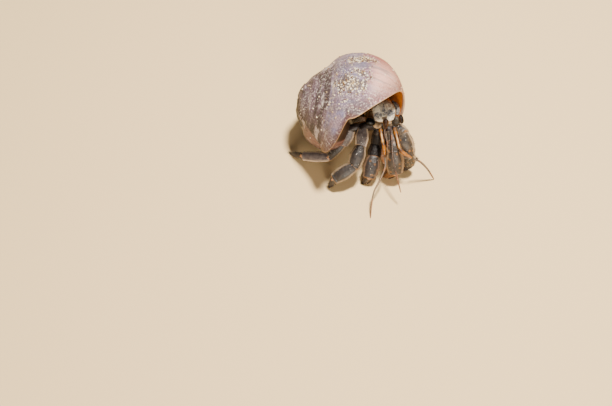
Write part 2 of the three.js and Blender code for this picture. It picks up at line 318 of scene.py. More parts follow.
def smoothed(value):
    return value * value * (3 - 2 * value)


def latticeNoise(points, seed):
    cell = np.floor(points).astype(np.int64)
    part = points - cell
    part = part * part * (3 - 2 * part)
    total = np.zeros(len(points))
    for corner in range(8):
        offset = np.array([corner & 1, corner >> 1 & 1, corner >> 2 & 1])
        key = (cell + offset) @ np.array([73856093, 19349663, 83492791]) + seed * 2654435761
        key = (key ^ (key >> 13)) * 1274126177 & 0x7FFFFFFF
        key = (key ^ (key >> 16)) & 0xFFFF
        weight = np.prod(np.where(offset, part, 1 - part), axis=1)
        total += weight * (key / 65535.0)
    return total * 2 - 1


def layeredNoise(points, size, seed, layers=3):
    total = np.zeros(len(points))
    strength = 1.0
    for layer in range(layers):
        total += strength * latticeNoise(points / size * 2 ** layer, seed + layer)
        strength *= 0.5
    return total


# the snail shell: one section that turns about an axis and grows by one ratio a turn

snail = {
    "growth": 1.92, "apex": (-24.43, 0.04, 22.83), "axis": (0.968, -0.117, -0.221),
    "outward": (0.017, -0.852, 0.523), "pathRadius": 11.68, "pathDrop": 31.86, "halfWidth": 17.05,
    "halfHeight": 16.9, "tilt": -0.327, "squareness": 0.245, "skew": -0.084, "columella": 0.7, "wall": 1.1,
    "lipWall": 0.45, "lipLean": 0.805, "lipBend": 0.584, "lipCurl": 0.569, "lipReach": 0.6,
    "lipLobe": (0.12, -0.5, 0.25), "lipNotch": (0.11, -0.2, 0.1),
    "lastTurn": 270.0, "hollowDepth": 250.0, "hollowPast": 0.12, "spireLoft": 285.0, "spireLofts": 2,
    "lipThinning": (0.86, 0.14), "core": [(0, 5.1), (0.3, 5.3), (1.68, 28), (1.008, 29), (0, 29.5)],
    "wornCore": [(0, 4.1), (3, 4.5), (6.3, 5.7), (9.1, 7.5), (11.9, 9.7), (0, 9.9)],
    "wornSkin": [(0, 3.8), (3.3, 4.2), (6.6, 5.4), (9.6, 7.1), (13.2, 9.9), (33, 24.5), (0, 60)],
    "sutureTurns": 1.15, "sutureOuter": -0.86, "sutureInner": -0.42, "sutureRoot": (-1.6, 2.2),
    "sides": 132, "stepAngle": 2.2, "shrink": 0.22,
    "lipOverrun": 0.06, "lipSpan": 0.5, "wallFrom": 0.972, "wallSpan": 0.012, "sutureReach": 30,
}
sand = {
    "clumpAt": (3.5, 4.4, 39.6), "clumpReach": (6.4, 2.6, 6.0), "clumpDensity": 3.4, "clumpEdge": (2.5, 0.3),
    "crustAt": (0.6, -8.0, 39.2), "crustReach": (7.4, 6.6, 8.0), "crustDensity": 2.2,
    "crustEdge": (1.8, 0.55), "strewnDensity": 0.05, "smallest": 0.32, "largest": 0.95, "seed": 7,
    "patch": 2.2, "patchSeed": 5, "slimmest": (0.7, 0.6, 0.55), "fullest": (1.1, 1, 0.9), "facing": -0.2,
}
wear = {"rib": 0.05, "hairline": 0.03, "pitSize": 1.5, "pit": 0.10, "wornPit": 0.14, "lumpSize": 5.0,
        "lump": 0.09, "sink": 0.05, "lipKeeps": 0.6, "smoothAngle": 50}
shellAxis = unit(snail["axis"])
shellOut = np.array(snail["outward"])
shellOut = unit(shellOut - shellAxis * shellOut.dot(shellAxis))
shellSide = np.cross(shellAxis, shellOut)


def sectionPoint(angle, inset):
    power = 2 / (2 + snail["squareness"])
    across = np.sign(np.cos(angle)) * np.abs(np.cos(angle)) ** power
    along = np.sign(np.sin(angle)) * np.abs(np.sin(angle)) ** power
    x = (snail["halfWidth"] - inset) * across * (1 + snail["skew"] * np.sin(angle))
    y = (snail["halfHeight"] - inset) * along
    tilt = snail["tilt"]
    radius = snail["pathRadius"] + math.cos(tilt) * x - math.sin(tilt) * y
    drop = snail["pathDrop"] + math.sin(tilt) * x + math.cos(tilt) * y
    return np.maximum(radius, snail["columella"] + np.maximum(inset, 0)), drop


def shellPoint(turn, radius, drop):
    scale = snail["growth"] ** (turn / (2 * math.pi))
    outward = np.cos(turn)[..., None] * shellOut + np.sin(turn)[..., None] * shellSide
    sideways, down = (scale * radius)[..., None] * outward, (scale * drop)[..., None] * shellAxis
    return np.array(snail["apex"]) + sideways + down


def swell(value, size, at, width):
    return size * np.exp(-((value - at) / width) ** 2)


def lipTurn(angle):
    sine = np.sin(angle)
    lead = -snail["lipLean"] * sine + snail["lipBend"] * (sine * sine - 0.5) - snail["lipCurl"] * sine ** 3
    reached = np.where(lead > 0, snail["lipReach"] * np.tanh(lead / snail["lipReach"]), lead)
    return reached + swell(angle, *snail["lipLobe"]) - swell(angle, *snail["lipNotch"])


def coil(name, startTurn, endTurn, section, steps):
    progress = np.linspace(0, 1, steps + 1)[:, None]
    radius, drop, angle = section(progress)
    turn = startTurn * (1 - progress) + endTurn(angle) * progress
    rings = shellPoint(turn, radius, drop)
    points = np.concatenate([rings.reshape(-1, 3), rings[:1].mean(1), rings[-1:].mean(1)])
    return makeMesh(name, points, ringFaces(*rings.shape[:2]))


def tube(insetAt):
    angles = np.linspace(-math.pi, math.pi, snail["sides"], endpoint=False)

    def section(progress):
        angle = np.broadcast_to(angles, (len(progress), len(angles)))
        radius, drop = sectionPoint(angle, insetAt(progress))
        return radius, drop, angle
    return section


def sutureSection(progress):
    corners = [sectionPoint(np.array(snail["sutureOuter"]), snail["shrink"])]
    below = sectionPoint(np.array(snail["sutureInner"]), snail["shrink"])
    corners.append([length / snail["growth"] for length in below])
    corners.append([(a + b) / 2 + offset for a, b, offset in zip(*corners, snail["sutureRoot"])])
    radius, drop = (np.broadcast_to([c[i] for c in corners], (len(progress), 3)) for i in (0, 1))
    return radius, drop, np.full((len(progress), 3), snail["sutureOuter"])


def turnedOnAxis(name, profile):
    sides = snail["sides"]
    inner = np.array(profile[1:-1], dtype=float)
    turn = np.linspace(0, 2 * math.pi, sides, endpoint=False)
    outward = np.cos(turn)[:, None] * shellOut + np.sin(turn)[:, None] * shellSide
    rings = np.array(snail["apex"]) + inner[:, :1, None] * outward + inner[:, 1:, None] * shellAxis
    hubs = [np.array(snail["apex"]) + drop * shellAxis for drop in (profile[0][1], profile[-1][1])]
    points = np.concatenate([rings.reshape(-1, 3), hubs])
    return makeMesh(name, points, ringFaces(len(inner), sides))


def roundedProfile(profile, steps=5):
    inner = np.array(profile[:-1], dtype=float)
    place = np.linspace(0, len(inner) - 1, (len(inner) - 1) * steps + 1)
    padded = np.concatenate([[inner[0] * (-1, 1) + (0, 0)], inner, [2 * inner[-1] - inner[-2]]])
    padded[0] = (-inner[1][0], inner[1][1])
    result = []
    for value in place:
        i = min(int(value), len(inner) - 2)
        t = value - i
        a, b, c, d = padded[i:i + 4]
        bend = (2 * a - 5 * b + 4 * c - d) * t * t + (3 * b - a - 3 * c + d) * t ** 3
        result.append(0.5 * (2 * b + (c - a) * t + bend))
    return [tuple(pair) for pair in result] + [profile[-1]]


def hollowOf(steps):
    thin, thick = snail["lipWall"], snail["wall"]
    thinsFrom, thinsOver = snail["lipThinning"]

    def inset(progress):
        thinned = np.clip((progress - thinsFrom) / thinsOver, 0, 1) ** 1.5
        return snail["shrink"] + thick + (thin - thick) * thinned

    def mouthTurn(angle):
        return lipTurn(angle) + snail["hollowPast"]

    return coil("hollow", -math.radians(snail["hollowDepth"]), mouthTurn, tube(inset), steps)


def buildShell():
    shrink = snail["shrink"]
    step = math.radians(snail["stepAngle"])
    lastTurn = math.radians(snail["lastTurn"])
    loft = math.radians(snail["spireLoft"])
    outer = tube(lambda progress: shrink + 0 * progress)
    body = coil("snailShell", -lastTurn, lipTurn, outer, int(lastTurn / step))
    combine(body, hollowOf(int(lastTurn / step / 2)), "DIFFERENCE")
    spire = None
    for i in range(snail["spireLofts"]):
        end = -lastTurn - i * loft
        part = coil("spire", end - loft, lambda angle, end=end: end + 0 * angle, outer, int(loft / step))
        spire = combine(spire, part, "UNION") if spire else part
    combine(spire, turnedOnAxis("wornSkin", roundedProfile(snail["wornSkin"])), "INTERSECT")
    combine(body, spire, "UNION")
    sutureStart = -2 * math.pi * snail["sutureTurns"]
    combine(body, coil("suture", sutureStart, lipTurn, sutureSection, int(-sutureStart / step)), "UNION")
    combine(body, turnedOnAxis("core", snail["core"]), "UNION")
    combine(body, turnedOnAxis("wornCore", roundedProfile(snail["wornCore"])), "UNION")
    return body


def shellFields(points):
    away = points - np.array(snail["apex"])
    drop = away @ shellAxis
    flat = away - drop[:, None] * shellAxis
    radius = np.linalg.norm(flat, axis=1)
    theta = np.arctan2(flat @ shellSide, flat @ shellOut)
    tilt, power = snail["tilt"], 2 + snail["squareness"]
    far = 50.0
    best = np.full(len(points), 2 * far)
    growth = np.zeros(len(points))
    across = np.zeros(len(points))
    inside = np.zeros(len(points))
    for turns in range(0, -5, -1):
        turn = theta + 2 * math.pi * turns
        scale = snail["growth"] ** (turn / (2 * math.pi))
        dr = radius / scale - snail["pathRadius"]
        dz = drop / scale - snail["pathDrop"]
        x = math.cos(tilt) * dr + math.sin(tilt) * dz
        y = -math.sin(tilt) * dr + math.cos(tilt) * dz
        y = y / snail["halfHeight"]
        x = x / (snail["halfWidth"] * (1 + snail["skew"] * np.clip(y, -1, 1)))
        size = (np.abs(x) ** power + np.abs(y) ** power) ** (1 / power)
        angle = np.arctan2(np.sign(y) * np.abs(y) ** (power / 2), np.sign(x) * np.abs(x) ** (power / 2))
        beyond = turn > lipTurn(angle) + snail["lipOverrun"]
        miss = np.where(beyond, far, np.abs(size - 1 + snail["shrink"] / snail["halfWidth"]))
        closer = miss < best
        best = np.where(closer, miss, best)
        growth = np.where(closer, turn, growth)
        across = np.where(closer, angle, across)
        if turns == 0:
            hollowHere = (turn > -math.radians(snail["hollowDepth"])) & ~beyond
            deep = np.clip((snail["wallFrom"] - size) / snail["wallSpan"], 0, 1)
            inside = np.where(hollowHere, deep, inside)
            lipward = np.clip(1 - (lipTurn(angle) - turn) / snail["lipSpan"], 0, 1)
            lipNear = np.where(~beyond & closer, lipward, 0)
        else:
            lipNear = np.where(closer, 0, lipNear)
    seam = np.array(snail["sutureOuter"])
    firstTurn = float(lipTurn(seam)) - 2 * math.pi
    seamTurn = (theta - firstTurn) % (2 * math.pi) + firstTurn
    pastSuture = snail["growth"] ** (seamTurn / (2 * math.pi)) * sectionPoint(seam, 0)[1] - drop
    reach = snail["sutureReach"]
    return growth, across, inside, lipNear, np.clip(pastSuture, -reach, reach), seamTurn


def sandCover(points, spot):
    edge, ragged = sand[spot + "Edge"]
    patchy = layeredNoise(points, sand["patch"], sand["patchSeed"])
    reach = np.linalg.norm((points - sand[spot + "At"]) / sand[spot + "Reach"], axis=1)
    return np.clip((1.0 - reach + patchy * ragged) * edge, 0, 1)


def reliefShell(body):
    mesh = body.data
    points = meshPoints(mesh) / mm + standsAt
    normals = meshNormals(mesh)
    growth, across, inside, lipNear, pastSuture, seamTurn = shellFields(points)
    outside = 1 - inside
    worn = smoothed(np.clip(pastSuture / 1.5 + 0.3, 0, 1))
    bodyLines = np.stack([growth * 9, across * 0.8, 0 * growth], -1)
    spireLines = np.stack([pastSuture * 1.1, seamTurn * 1.2, 0 * growth], -1)
    lines = bodyLines + (spireLines - bodyLines) * (worn > 0.5)[:, None]
    ribs = latticeNoise(lines, 11) * wear["rib"] + latticeNoise(lines * (2.3, 1, 1), 12) * wear["hairline"]
    pits = np.minimum(layeredNoise(points, wear["pitSize"], 21) + 0.25, 0)
    pits = pits * (wear["pit"] + wear["wornPit"] * worn)
    lumps = layeredNoise(points, wear["lumpSize"], 31, 2) * wear["lump"]
    push = (ribs + pits + lumps - wear["sink"]) * outside * (1 - wear["lipKeeps"] * lipNear)
    points = points + normals * push[:, None]
    points[:, 2] = np.maximum(points[:, 2], 0.0)
    mesh.vertices.foreach_set("co", toScene(points).ravel())
    sandy = np.maximum(sandCover(points, "clump"), sandCover(points, "crust")) * outside
    addFields(mesh, {"growth": growth, "across": across, "inside": inside, "lipNear": lipNear,
                     "pastSuture": pastSuture, "seamTurn": seamTurn, "sandy": sandy})
    finishMesh(mesh, wear["smoothAngle"])


# tones of the crust: the pale pink sheen tone is partly a painted highlight; the low, foot and spire-low
# tones darken the shell towards the floor, partly brown colour and partly painted shade; the mouth tone deep
# in the hollow and the gap tone between sand grains are painted shade
crust = {"rosy": "9b4d4a", "flush": "fdc5ad", "pale": "89717a", "violet": "796f89", "grey": "65595f",
         "warm": "553532", "low": "654235", "spireTop": "715961", "spireLowBrownShade": "1d120a",
         "spireDark": "2c1e19", "streak": "bcaaa4", "speck": "e7dac8", "pit": "3f3430", "gap": "524540",
         "lip": "b58b5d", "beige": "6c5538", "mouth": "301e10", "glow": "ed8627",
         "elder": "523a2d", "foot": "301f16", "rimInside": "c4a289"}


class Shell:  # the fields and noises that every part of the crust reads
    def __init__(self, paint):
        for name in ("growth", "across", "inside", "lipNear", "pastSuture", "seamTurn", "sandy"):
            setattr(self, name, paint.field(name))
        self.height = paint.axis(2)
        self.patches = paint.noise(7 * mm, 4, 0.6)
        self.clouds = paint.noise(3.0 * mm, 5, 0.62)
        self.grain = paint.noise(0.75 * mm, 4, 0.65)
        growth, across = self.growth, self.across
        banded = paint.vector(growth * 8.0, across * 0.7, self.patches * 0.8)
        self.bands = paint.noise(1.0, 4, 0.6, vector=banded)
        threaded = paint.vector(growth * 22.0, across * 2.2, self.clouds * 0.8)
        self.threads = paint.noise(1.0, 4, 0.65, vector=threaded)
        along = paint.vector(self.pastSuture * 0.75, self.seamTurn * 1.1, self.clouds * 0.7)
        self.streaks = paint.noise(1.0, 4, 0.6, vector=along)
        rosy = (across + (self.patches - 0.5) * 0.9).between(-0.15, 0.45)
        self.rosiness = rosy * (1 - across.between(1.7, 2.3))
        # pale pink patch near the top of the last whorl: partly the shell's own colour, partly a painted
        # highlight, with a glossier coat
        flush = across.between(0.05, 0.35) * (1 - across.between(0.7, 1.2)) * growth.between(-1.5, -1.0)
        self.flush = flush * (1 - growth.between(-0.8, -0.55)) * (self.bands.between(0.35, 0.6) * 0.5 + 0.5)
        # darker towards the bottom: partly the shell's brown, partly painted shade
        self.lowBrownShade = (self.height * -1 + (self.clouds - 0.5) * 0.012).between(-0.033, -0.015)


def lastWhorl(paint, shell):
    down = shell.height * -1
    age = 1 - shell.growth.between(-4.6, -3.2)
    color = paint.mix(shell.clouds.between(0.38, 0.6), crust["violet"], crust["pale"])
    return paint.layered(color, crust, [
        # the pale pink patch is partly a painted highlight
        (shell.rosiness, "rosy"), (shell.flush * 0.9, "flush"),
        (shell.lipNear.between(0.2, 0.9) * (1 - shell.rosiness * 0.45), "warm"), (age * 0.6, "elder"),
        # the low and foot tones darken the whorl towards the floor: partly brown colour, partly painted shade
        (shell.bands.between(0.5, 0.64) * 0.6, "grey"), (down.between(-0.031, -0.017) * 0.85, "low"),
        (down.between(-0.015, -0.009) * 0.85, "foot"),
        ((1 - shell.threads).between(0.56, 0.68) * 0.5, "streak"),
        # the inner whorl wall seen through the mouth is painted dark: painted shade
        (shell.across.between(1.8, 2.2) * age, "mouth")])


def spireWhorls(paint, shell):
    scuffs = (1 - shell.streaks).between(0.56, 0.66) * (0.75 - shell.lowBrownShade * 0.68)
    # the spire darkens towards the bottom: partly brown colour, partly painted shade
    color = paint.mix(shell.lowBrownShade, crust["spireTop"], crust["spireLowBrownShade"])
    return paint.layered(color, crust, [
        (shell.streaks.between(0.48, 0.6) * 0.8, "spireDark"), (scuffs, "streak"),
        (shell.lowBrownShade * 0.5, "spireLowBrownShade")])


def crustBits(paint, shell, color, bits):
    seam = (1 - abs(shell.pastSuture - 1.3 + (shell.clouds - 0.5) * 3.0) * 0.4).between(0.0, 0.4)
    patchy = paint.noise(1.0, 3, 0.6, vector=paint.vector(shell.seamTurn * 2.2, shell.pastSuture * 0.3, 3.0))
    rough = (1 - shell.flush * 0.8) * (shell.patches.between(0.42, 0.58) * 0.7 + 0.3)
    specks = shell.grain.between(0.54, 0.62) * (0.55 - shell.lowBrownShade * 0.48) * rough
    kept = paint.cells(1.0 * mm, output="Color").between(0.3, 0.4)
    stuck = shell.sandy.between(0.1, 0.5) * (0.46 - bits).between(0.0, 0.14) * kept
    return paint.layered(color, crust, [
        (seam * patchy.between(0.52, 0.58) * 0.85, "streak"), (specks, "speck"),
        ((1 - shell.grain).between(0.52, 0.6) * 0.75 * rough, "pit"),
        # the dark tone between the stuck sand grains is painted shade
        (shell.sandy.between(0.1, 0.7) * 0.85, "gap"), (stuck, "speck"),
        (shell.lipNear.between(0.95, 1.0) * 0.8, "lip")])


def shellShader():
    paint = Paint("shellCrust")
    shell = Shell(paint)
    bits = paint.cells(1.0 * mm)
    fine = paint.noise(0.3 * mm, 3, 0.6)
    color = paint.mix(shell.pastSuture.between(-0.4, 0.5), lastWhorl(paint, shell), spireWhorls(paint, shell))
    color = crustBits(paint, shell, color, bits)
    lit = shell.across.between(1.0, 1.5) * shell.growth.between(-2.4, -1.4) * shell.inside
    rimmed = shell.lipNear.between(0.8, 0.88) * shell.across.between(0.9, 1.2)
    # the hollow darkens away from the lip: painted shade
    hollow = paint.mix(shell.lipNear.between(0.3, 0.95), crust["mouth"], crust["beige"])
    hollow = paint.layered(hollow, crust, [(lit, "glow"), (rimmed, "rimInside")])
    color = paint.mix(shell.inside, color, hollow)
    relief = shell.bands * 0.5 + shell.threads * 0.25 + shell.streaks * 0.3 + shell.grain * 0.5
    relief = (relief + fine * 0.2 - bits * shell.sandy * 0.8) * (1 - shell.inside * 0.9)
    roughness = 0.5 - shell.flush * 0.2 - shell.rosiness * 0.1 + fine * 0.14
    return paint.finish(Base_Color=color, Roughness=roughness, Coat_Weight=shell.flush * 0.6,
                        Coat_Roughness=0.3, Normal=paint.bump(relief, 0.4 * mm),
                        Emission_Color=paint.mix(lit * (1 - rimmed), (0, 0, 0, 1), crust["glow"]),
                        Emission_Strength=0.11)  # daylight that the thin wall lets through


def claim(piece, material, slot, *nodes):
    piece.data.materials.clear()
    piece.data.materials.append(material)
    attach(piece, "root")
    if nodes:
        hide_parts(*nodes)
    return piece


shellBody = buildShell()
reliefShell(shellBody)
claim(shellBody, shellShader(), "snail_shell", "shell")
print("snail shell:", len(shellBody.data.polygons), "faces")


# sand stuck to the shell

class Nodes:
    def __init__(self, name):
        self.tree = bpy.data.node_groups.new(name, "GeometryNodeTree")
        self.tree.interface.new_socket("Geometry", in_out="INPUT", socket_type="NodeSocketGeometry")
        self.tree.interface.new_socket("Geometry", in_out="OUTPUT", socket_type="NodeSocketGeometry")
        self.entry = self.tree.nodes.new("NodeGroupInput")
        self.exit = self.tree.nodes.new("NodeGroupOutput")

    def input(self, name, kind):
        self.tree.interface.new_socket(name, in_out="INPUT", socket_type=kind)
        return self.entry.outputs[name]

    def node(self, kind, settings=None, values=None):
        made = self.tree.nodes.new(kind)
        for key, value in (settings or {}).items():
            setattr(made, key, value)
        for key, value in (values or {}).items():
            socket = made.inputs[key]
            if isinstance(value, bpy.types.NodeSocket):
                self.tree.links.new(value, socket)
            else:
                socket.default_value = value
        return made

    def finish(self, geometry):
        self.tree.links.new(geometry, self.exit.inputs[0])
        return self.tree


def grainTree():
    nodes = Nodes("strewGrains")
    floats = ("Density", "Smallest", "Largest")
    density, smallest, largest = (nodes.input(name, "NodeSocketFloat") for name in floats)
    seed = nodes.input("Seed", "NodeSocketInt")
    material = nodes.input("Material", "NodeSocketMaterial")
    where = nodes.node("GeometryNodeInputNamedAttribute", {"data_type": "FLOAT"}, {"Name": "grainDensity"})
    share = nodes.node("ShaderNodeMath", {"operation": "MULTIPLY"}, {0: density, 1: where.outputs[0]})
    points = nodes.node("GeometryNodeDistributePointsOnFaces", {"distribute_method": "RANDOM"},
                        {"Mesh": nodes.entry.outputs[0], "Density": share.outputs[0], "Seed": seed})
    grain = nodes.node("GeometryNodeMeshIcoSphere", values={"Radius": 0.5, "Subdivisions": 2})
    size = nodes.node("FunctionNodeRandomValue", {"data_type": "FLOAT"},
                      {2: smallest, 3: largest, "Seed": seed})
    spin = nodes.node("FunctionNodeRandomValue", {"data_type": "FLOAT_VECTOR"},
                      {0: (0, 0, 0), 1: (6.3, 6.3, 6.3)})
    squash = nodes.node("FunctionNodeRandomValue", {"data_type": "FLOAT_VECTOR"},
                        {0: sand["slimmest"], 1: sand["fullest"]})
    sized = nodes.node("ShaderNodeVectorMath", {"operation": "SCALE"},
                       {0: squash.outputs[0], "Scale": size.outputs[1]})
    strewn = nodes.node("GeometryNodeInstanceOnPoints", values={
        "Points": points.outputs["Points"], "Instance": grain.outputs["Mesh"],
        "Rotation": spin.outputs[0], "Scale": sized.outputs[0]})
    tone = nodes.node("FunctionNodeRandomValue", {"data_type": "FLOAT"})
    toned = nodes.node("GeometryNodeStoreNamedAttribute", {"data_type": "FLOAT", "domain": "INSTANCE"},
                       {"Geometry": strewn.outputs[0], "Name": "tone", "Value": tone.outputs[1]})
    real = nodes.node("GeometryNodeRealizeInstances", values={"Geometry": toned.outputs[0]})
    dressed = nodes.node("GeometryNodeSetMaterial",
                         values={"Geometry": real.outputs[0], "Material": material})
    return nodes.finish(dressed.outputs[0])


def grainShader():
    paint = Paint("beachSand")
    tone = paint.field("tone")
    color = paint.mix(tone.between(0.1, 0.6), "ad8e61", "e7d4b3")
    color = paint.mix(tone.between(0.7, 0.8), color, "69482c")
    speck = paint.noise(0.2 * mm, 2)
    return paint.finish(Base_Color=color, Roughness=speck * 0.3 + 0.4, Normal=paint.bump(speck, 0.04 * mm))


def attributeOf(mesh, name):
    values = np.empty(len(mesh.vertices), dtype=np.float32)
    mesh.attributes[name].data.foreach_get("value", values)
    return values


def strewGrains():
    mesh = shellBody.data.copy()
    points = meshPoints(mesh) / mm + standsAt
    normals = meshNormals(mesh)
    density = sandCover(points, "clump") * sand["clumpDensity"]
    density += sandCover(points, "crust") * sand["crustDensity"] + sand["strewnDensity"]
    density *= (normals[:, 2] > sand["facing"]) & (attributeOf(mesh, "inside") < 0.2)
    addFields(mesh, {"grainDensity": density})
    piece = addObject("sandGrains", mesh)
    tree = grainTree()
    material = grainShader()
    strew = piece.modifiers.new("strew", "NODES")
    strew.node_group = tree
    names = {item.name: item.identifier for item in tree.interface.items_tree if item.in_out == "INPUT"}
    settings = {"Density": 1 / mm ** 2, "Smallest": sand["smallest"] * mm, "Largest": sand["largest"] * mm,
                "Seed": sand["seed"], "Material": material}
    for key, value in settings.items():
        strew[names[key]] = value
    applied(piece)
    piece.data.shade_flat()
    return claim(piece, material, "sand_grain")


sandGrains = strewGrains()
print("sand grains:", len(sandGrains.data.polygons), "faces")


# rods: a path through joints, widths along it, rounded ends

plateFacing = np.array([0, -0.64, 0.77])
plateDepth = 0.76
jointLap = 0.16
plateAngle = 40  # degrees, past which an edge stays sharp


def smoothPath(path, samples=400):
    points = np.array(path, dtype=float)
    if len(points) == 2:
        dense = points[0] + (points[1] - points[0]) * np.linspace(0, 1, samples)[:, None]
    else:
        padded = np.concatenate([[2 * points[0] - points[1]], points, [2 * points[-1] - points[-2]]])
        dense = []
        for i in range(len(points) - 1):
            p0, p1, p2, p3 = padded[i:i + 4]
            d0, d1, d2 = (math.sqrt(np.linalg.norm(b - a)) for a, b in ((p0, p1), (p1, p2), (p2, p3)))
            t1 = ((p1 - p0) / d0 - (p2 - p0) / (d0 + d1) + (p2 - p1) / d1) * d1
            t2 = ((p2 - p1) / d1 - (p3 - p1) / (d1 + d2) + (p3 - p2) / d2) * d1
            t = np.linspace(0, 1, samples // len(points) + 2)[:, None][(1 if i else 0):]
            square, cube = 3 * (p2 - p1) - 2 * t1 - t2, 2 * (p1 - p2) + t1 + t2
            dense.append(p1 + t1 * t + square * t * t + cube * t ** 3)
        dense = np.concatenate(dense)
    length = np.concatenate([[0], np.cumsum(np.linalg.norm(np.diff(dense, axis=0), axis=1))])
    return dense, length


def widthsAt(widths, s):
    place = s * (len(widths) - 1)
    i = np.minimum(place.astype(int), len(widths) - 2)
    widths = np.array(widths)
    return widths[i] + (widths[i + 1] - widths[i]) * smoothed(place - i)


def rodFrame(spec, s):
    dense, length = smoothPath(spec["path"])

    def pointAt(share):
        reached = np.clip(share, 0, 1) * length[-1]
        return np.stack([np.interp(reached, length, dense[:, i]) for i in range(3)], -1)

    along = unit(pointAt(s + 0.01) - pointAt(s - 0.01))
    across = unit(np.cross(along, plateFacing))
    bluntness = spec.get("bluntness", 4)
    fullness = (1 - np.abs(2 * s - 1) ** bluntness) ** (1 / bluntness)
    half = widthsAt(spec["widths"], s) / 2 * fullness
    return pointAt(s), along, across, np.cross(across, along), half, fullness


def rod(name, spec, grow=0.0, relief=None):
    steps, sides, depth = spec.get("steps", 40), spec.get("sides", 48), spec.get("depth", 1)
    s = (1 - np.cos(math.pi * np.arange(1, steps) / steps)) / 2
    if spec.get("even"):
        s = np.linspace(0, 1, steps + 1)[1:-1]
    centre, along, across, through, half, fullness = rodFrame(spec, s)
    angle = 2 * math.pi * np.arange(sides) / sides
    a = (half[:, None] + grow) * np.cos(angle)
    b = (half[:, None] * depth + grow) * np.sin(angle)
    points = centre[:, None] + a[..., None] * across[:, None] + b[..., None] * through[:, None]
    shares, turns = np.broadcast_to(s[:, None], a.shape), np.broadcast_to(angle, a.shape)
    if relief:
        sideways = np.cos(turns)[..., None] * across[:, None]
        upward = np.sin(turns)[..., None] * through[:, None]
        push = relief(shares, turns, points.reshape(-1, 3)) * np.minimum(1, fullness * 1.4)[:, None]
        points = points + unit(sideways * depth + upward) * push[..., None]
    ends = np.array([spec["path"][0], spec["path"][-1]]) + along[[0, -1]] * [[-grow], [grow]]
    flat = np.concatenate([points.reshape(-1, 3), ends])
    flat[:, 2] = np.maximum(flat[:, 2], 0)
    fields = {"along": np.concatenate([shares.ravel(), [0, 1]]),
              "turn": np.concatenate([turns.ravel(), [math.pi / 2] * 2])}
    return makeMesh(name, flat, ringFaces(len(s), sides), fields, plateAngle)


limbs = {
    "claw_left": {
        "joints": [(15.2, -11.4, 17.6), (16.3, -16.0, 16.6), (16.9, -18.9, 14.6),
                   (17.9, -22.2, 6.4), (13.5, -20.1, -0.3)],
        "merus": (3.6, 4.4, 4.4), "carpus": (4.4, 5.8, 5.6), "palm": (5.2, 7.4, 6.2),
        "finger": (3.4, 2.8, 1.0),
        "thumb": (2.1, -0.9, 0)},
    "claw_right": {
        "joints": [(10.6, -11.2, 16.8), (10.2, -13.5, 10.8), (9.6, -17.7, 9.0),
                   (8.0, -23.5, 4.2), (5.7, -23.8, -0.3)],
        "merus": (3.4, 4.2, 4.2), "carpus": (4.2, 5.2, 5.0), "palm": (4.8, 6.4, 5.2),
        "finger": (2.8, 2.4, 0.9),
        "thumb": (1.9, -0.1, 0)},
    "leg3_right": {
        "joints": [(0.0, -12.0, 18.0), (-2.3, -14.6, 12.7), (-7.6, -17.0, 6.8),
                   (-17.7, -14.7, 4.0), (-23.5, -10.2, -0.3)],
        "merus": (4.2, 5.4, 4.4), "carpus": (3.2, 3.9, 3.7), "propodus": (3.4, 4.0, 3.6),
        "dactyl": (2.8, 2.2, 0.9)},
    "leg2_right": {
        "joints": [(4.9, -12.2, 19.6), (4.4, -18.1, 15.6), (2.0, -23.8, 10.6),
                   (-5.1, -26.5, 6.0), (-7.2, -26.2, -0.3)],
        "merus": (3.6, 5.2, 4.2), "carpus": (4.2, 6.0, 5.2), "propodus": (4.6, 5.6, 4.6),
        "dactyl": (3.4, 2.6, 1.0)},
    "leg2_left": {
        "joints": [(17.4, -10.6, 18.6), (20.0, -13.6, 18.6), (22.6, -18.6, 11.8),
                   (23.2, -17.6, 5.0), (20.8, -16.6, -0.3)],
        "merus": (3.6, 5.2, 5.4), "carpus": (4.8, 6.2, 5.2), "propodus": (4.6, 5.6, 4.4),
        "dactyl": (3.6, 2.8, 1.0)},
    "leg3_left": {
        "joints": [(17.8, -6.6, 15.4), (21.4, -8.4, 12.4), (23.6, -10.8, 7.6),
                   (23.8, -12.6, 3.4), (26.4, -10.8, -0.3)],
        "merus": (3.0, 3.8, 3.4), "carpus": (3.0, 3.8, 3.5), "propodus": (3.2, 3.6, 3.2),
        "dactyl": (2.6, 2.0, 0.9)},
}
thumbRoot = np.array([0, 0, 2.0])
limbPlates = ["merus", "carpus", "propodus", "dactyl"]
clawPlates = ["merus", "carpus", "palm", "finger"]


def plateSpec(limb, index, plate):
    start, end = (np.array(limb["joints"][i], dtype=float) for i in (index, index + 1))
    along = unit(end - start)
    widths = limb[plate]
    start = start - along * jointLap * widths[0]
    if index < 3:
        end = end + along * jointLap * widths[2]
    return {"path": [start, end], "widths": widths, "depth": plateDepth, "bluntness": 6}


def plateRelief(seed, roughness=1.0):
    def relief(along, around, points):
        shape = along.shape
        lumps = layeredNoise(points, 0.55, seed, 2).reshape(shape) * 0.05 * roughness
        broad = layeredNoise(points, 2.2, seed + 9, 2).reshape(shape) * 0.07
        rim = np.abs(np.cos(around)) ** 10 * 0.10
        dish = -np.clip(np.sin(around), 0, 1) ** 2 * 0.12
        collar = np.exp(-((along - 0.93) / 0.03) ** 2) * 0.14 - np.exp(-((along - 0.86) / 0.025) ** 2) * 0.10
        return lumps + broad + rim + dish + collar - 0.10
    return relief


def fingerRelief(seed):
    def relief(along, around, points):
        shape = along.shape
        lumps = layeredNoise(points, 0.5, seed, 2).reshape(shape) * 0.05
        furrow = -np.exp(-((np.sin(around) - 0.9) / 0.2) ** 2) * 0.06
        return lumps + furrow - 0.06
    return relief


